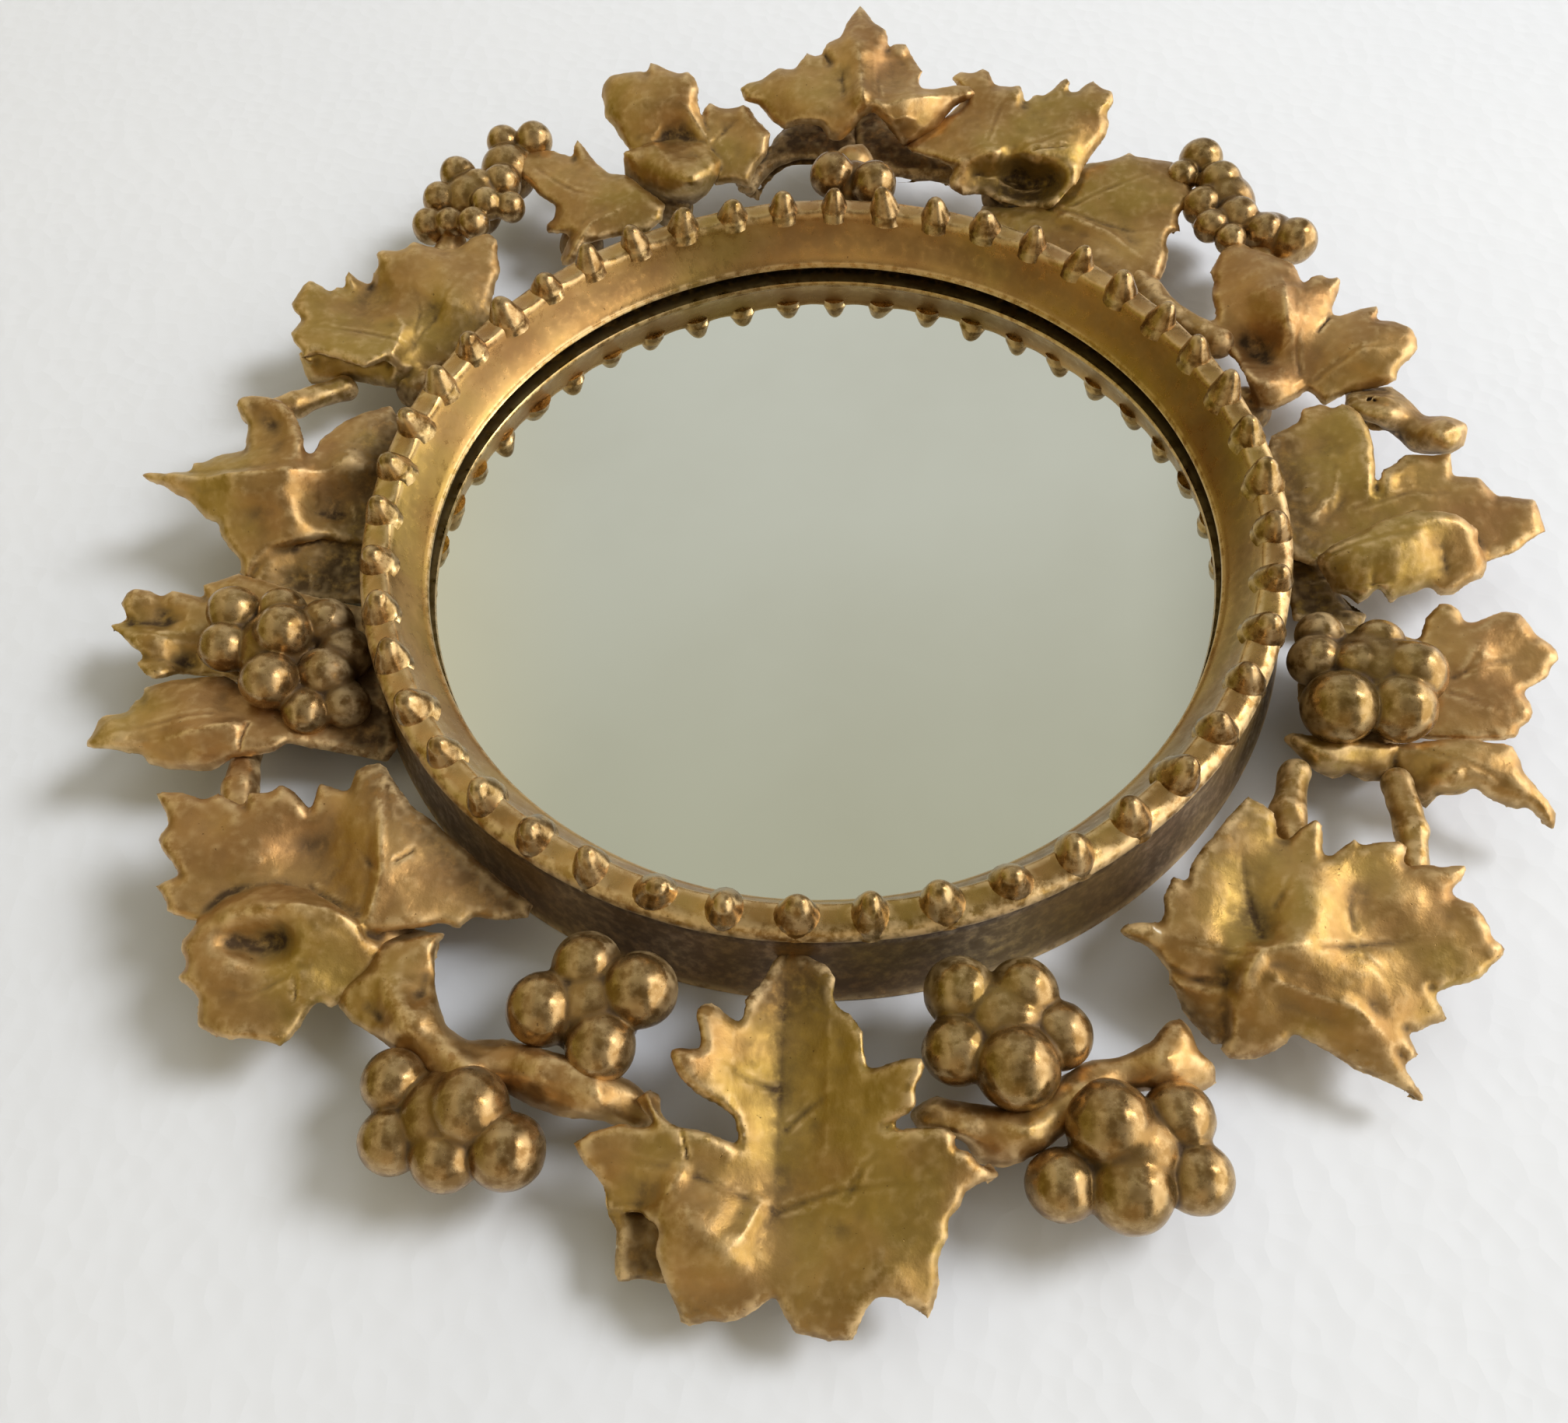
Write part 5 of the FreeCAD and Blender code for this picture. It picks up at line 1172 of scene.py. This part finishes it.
def rim_beads(material):
    """The course of domed beads on the rim, each cut by hand and so a little different."""
    chance = np.random.default_rng(46)
    pattern = bead_pattern()
    beads = []
    for index in range(BEAD_COUNT):
        angle = -math.pi / 2 + math.tau * index / BEAD_COUNT
        bead = pattern.copy()
        bead.data = pattern.data.copy()
        bead.location = Vector((math.cos(angle) * RIM_RADIUS, math.sin(angle) * RIM_RADIUS, RING_HEIGHT - 0.6)) * MM
        bpy.context.collection.objects.link(bead)
        grow = chance.uniform(0.88, 1.1, 3)
        lean = chance.uniform(-0.2, 0.2, 2)
        for vertex in bead.data.vertices:
            if vertex.co.z > 0:
                vertex.co.z *= grow[2]
            vertex.co.x = vertex.co.x * grow[0] + vertex.co.z * lean[0]
            vertex.co.y = vertex.co.y * grow[1] + vertex.co.z * lean[1]
        beads.append(bead)
    bpy.data.objects.remove(pattern)
    bpy.context.view_layer.update()
    piece = joined(beads, "beaded_course")
    bpy.ops.object.mode_set(mode="EDIT")
    bpy.ops.mesh.select_all(action="SELECT")
    bpy.ops.mesh.remove_doubles(threshold=0.02 * MM)
    bpy.ops.object.mode_set(mode="OBJECT")
    wear_grime_and_shade(piece, fine=1, broad=6, scale=0.5)
    return finish_piece(piece, material, "gilded_wood", "rim_beads")


def mirror_glass(material):
    """The silvered plate, seen through its own thickness of glass, so that it lies below the lip."""
    outline = [(0, 7.8), (PANE_RADIUS - 0.2, 7.8), (PANE_RADIUS, 8.0), (PANE_RADIUS, SILVER_HEIGHT - 0.2),
               (PANE_RADIUS - 0.2, SILVER_HEIGHT), (0, SILVER_HEIGHT)]
    piece = lathe("silvered_plate", outline, 180)
    finish_piece(piece, material, "mirror", "mirror_glass")
    bpy.ops.object.shade_flat()
    return piece


def set_camera():
    """The photograph's camera."""
    data = bpy.data.cameras.new("photo_camera")
    data.lens = LENS_MM
    data.sensor_width = SENSOR_MM
    data.sensor_fit = "HORIZONTAL"
    data.clip_start = 10 * MM
    camera = bpy.data.objects.new("photo_camera", data)
    bpy.context.scene.collection.objects.link(camera)
    turn = Matrix(camera_axes()).transposed().to_4x4()
    camera.matrix_world = Matrix.Translation(CAMERA_PLACE) @ turn
    bpy.context.scene.camera = camera


def set_floor():
    """A plain pale floor."""
    bpy.ops.object.select_all(action="DESELECT")
    bpy.ops.mesh.primitive_plane_add(size=4)
    floor = bpy.context.active_object
    floor.name = "floor"
    material = bpy.data.materials.new("pale_floor")
    material.use_nodes = True
    n = Nodes(material.node_tree)
    shader = material.node_tree.nodes["Principled BSDF"]
    where = n.add("TexCoord").outputs["Object"]
    cells = n.add("TexVoronoi", {"Vector": where, "Scale": 210, "Randomness": 0.9}).outputs["Distance"]
    pale = n.mix(n.noise(where, 6, 3), (0.585, 0.60, 0.65, 1), (0.65, 0.66, 0.70, 1))
    links = material.node_tree.links
    links.new(pale, shader.inputs["Base Color"])
    shader.inputs["Roughness"].default_value = 0.6
    dimples = n.add("Bump", {"Strength": 0.12, "Distance": 1.0 * MM, "Height": cells})
    links.new(dimples.outputs["Normal"], shader.inputs["Normal"])
    floor.data.materials.append(material)


def set_light():
    """Soft light from the upper right, a dim olive side on the left and a grey-green ceiling."""
    world = bpy.data.worlds.new("studio")
    bpy.context.scene.world = world
    world.use_nodes = True
    n = Nodes(world.node_tree)
    way = n.add("SeparateXYZ", {"Vector": n.add("TexCoord").outputs["Generated"]})
    ceiling = n.mix(n.ramp(way.outputs["Y"], 0.3, 0.8), (0.42, 0.41, 0.32, 1), (0.56, 0.56, 0.52, 1))
    ceiling = n.mix(n.ramp(way.outputs["Y"], 0.25, -0.2), ceiling, (0.20, 0.17, 0.11, 1))
    ceiling = n.mix(n.ramp(way.outputs["Y"], -0.5, -0.95), ceiling, (0.52, 0.41, 0.25, 1))
    sides = n.mix(n.ramp(way.outputs["X"], -0.2, -0.45), ceiling, (0.62, 0.56, 0.40, 1))
    sides = n.mix(n.ramp(way.outputs["X"], -0.55, -0.9), sides, (0.30, 0.245, 0.055, 1))
    sides = n.mix(n.ramp(way.outputs["X"], 0.2, 0.38), sides, (0.22, 0.20, 0.165, 1))
    sides = n.mix(n.ramp(way.outputs["X"], 0.61, 0.74), sides, (2.3, 2.18, 1.95, 1))
    background = world.node_tree.nodes["Background"]
    world.node_tree.links.new(sides, background.inputs["Color"])
    background.inputs["Strength"].default_value = 1.1
    for name, place, width, power, tint, mirrored in (
        ("window", (2.2, 0.66, 2.04), 1.2, 84, (0.93, 0.97, 1), False),
        ("window_pane", (1.4, 0.44, 1.36), 0.4, 5, (1, 0.98, 0.95), True),
        ("ceiling_glow", (0.3, 0.8, 1.5), 0.9, 3, (0.9, 0.95, 1), False),
    ):
        data = bpy.data.lights.new(name, "AREA")
        data.shape = "DISK"
        data.size = width
        data.energy = power
        data.color = tint
        lamp = bpy.data.objects.new(name, data)
        lamp.visible_glossy = mirrored
        bpy.context.scene.collection.objects.link(lamp)
        lamp.matrix_world = Matrix.Translation(place) @ Vector(place).to_track_quat("Z",
            "Y").to_matrix().to_4x4()
    bpy.context.scene.view_settings.view_transform = "Standard"


set_camera()
set_floor()
set_light()
gilding = gilding_group()
# The fifth number sets how dark the hollows go: dirt and painted shade together
leaf_gilt = gilded("leaf_gilding", gilding, 0.35, 0.5, 0.55, 1.0, 0.05, 0.4)
berry_gilt = gilded("berry_gilding", gilding, 0.2, 0.4, 0.3, 1.0, 0.58, 0.2)
ring_gilt = gilded("ring_gilding", gilding, 0.22, 0.45, 0.45, 1.0, 0.06, 0.2)
for leaf_name in LEAVES:
    carve_leaf(leaf_name, leaf_gilt)
for stem_name in STEMS:
    carve_stem(stem_name, leaf_gilt)
for cluster_name in BERRIES:
    carve_berries(cluster_name, berry_gilt)
ring_frame(ring_gilt)
rim_beads(berry_gilt)
mirror_glass(silvering())
iron = old_iron()
for node_name, finish in (("backing_board", board_wood()), ("glazing_pins", iron), ("hanger_plate", iron),
                          ("hanger_screws", iron), ("hanger_ring", iron)):
    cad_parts[node_name].data.materials.clear()
    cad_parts[node_name].data.materials.append(finish)
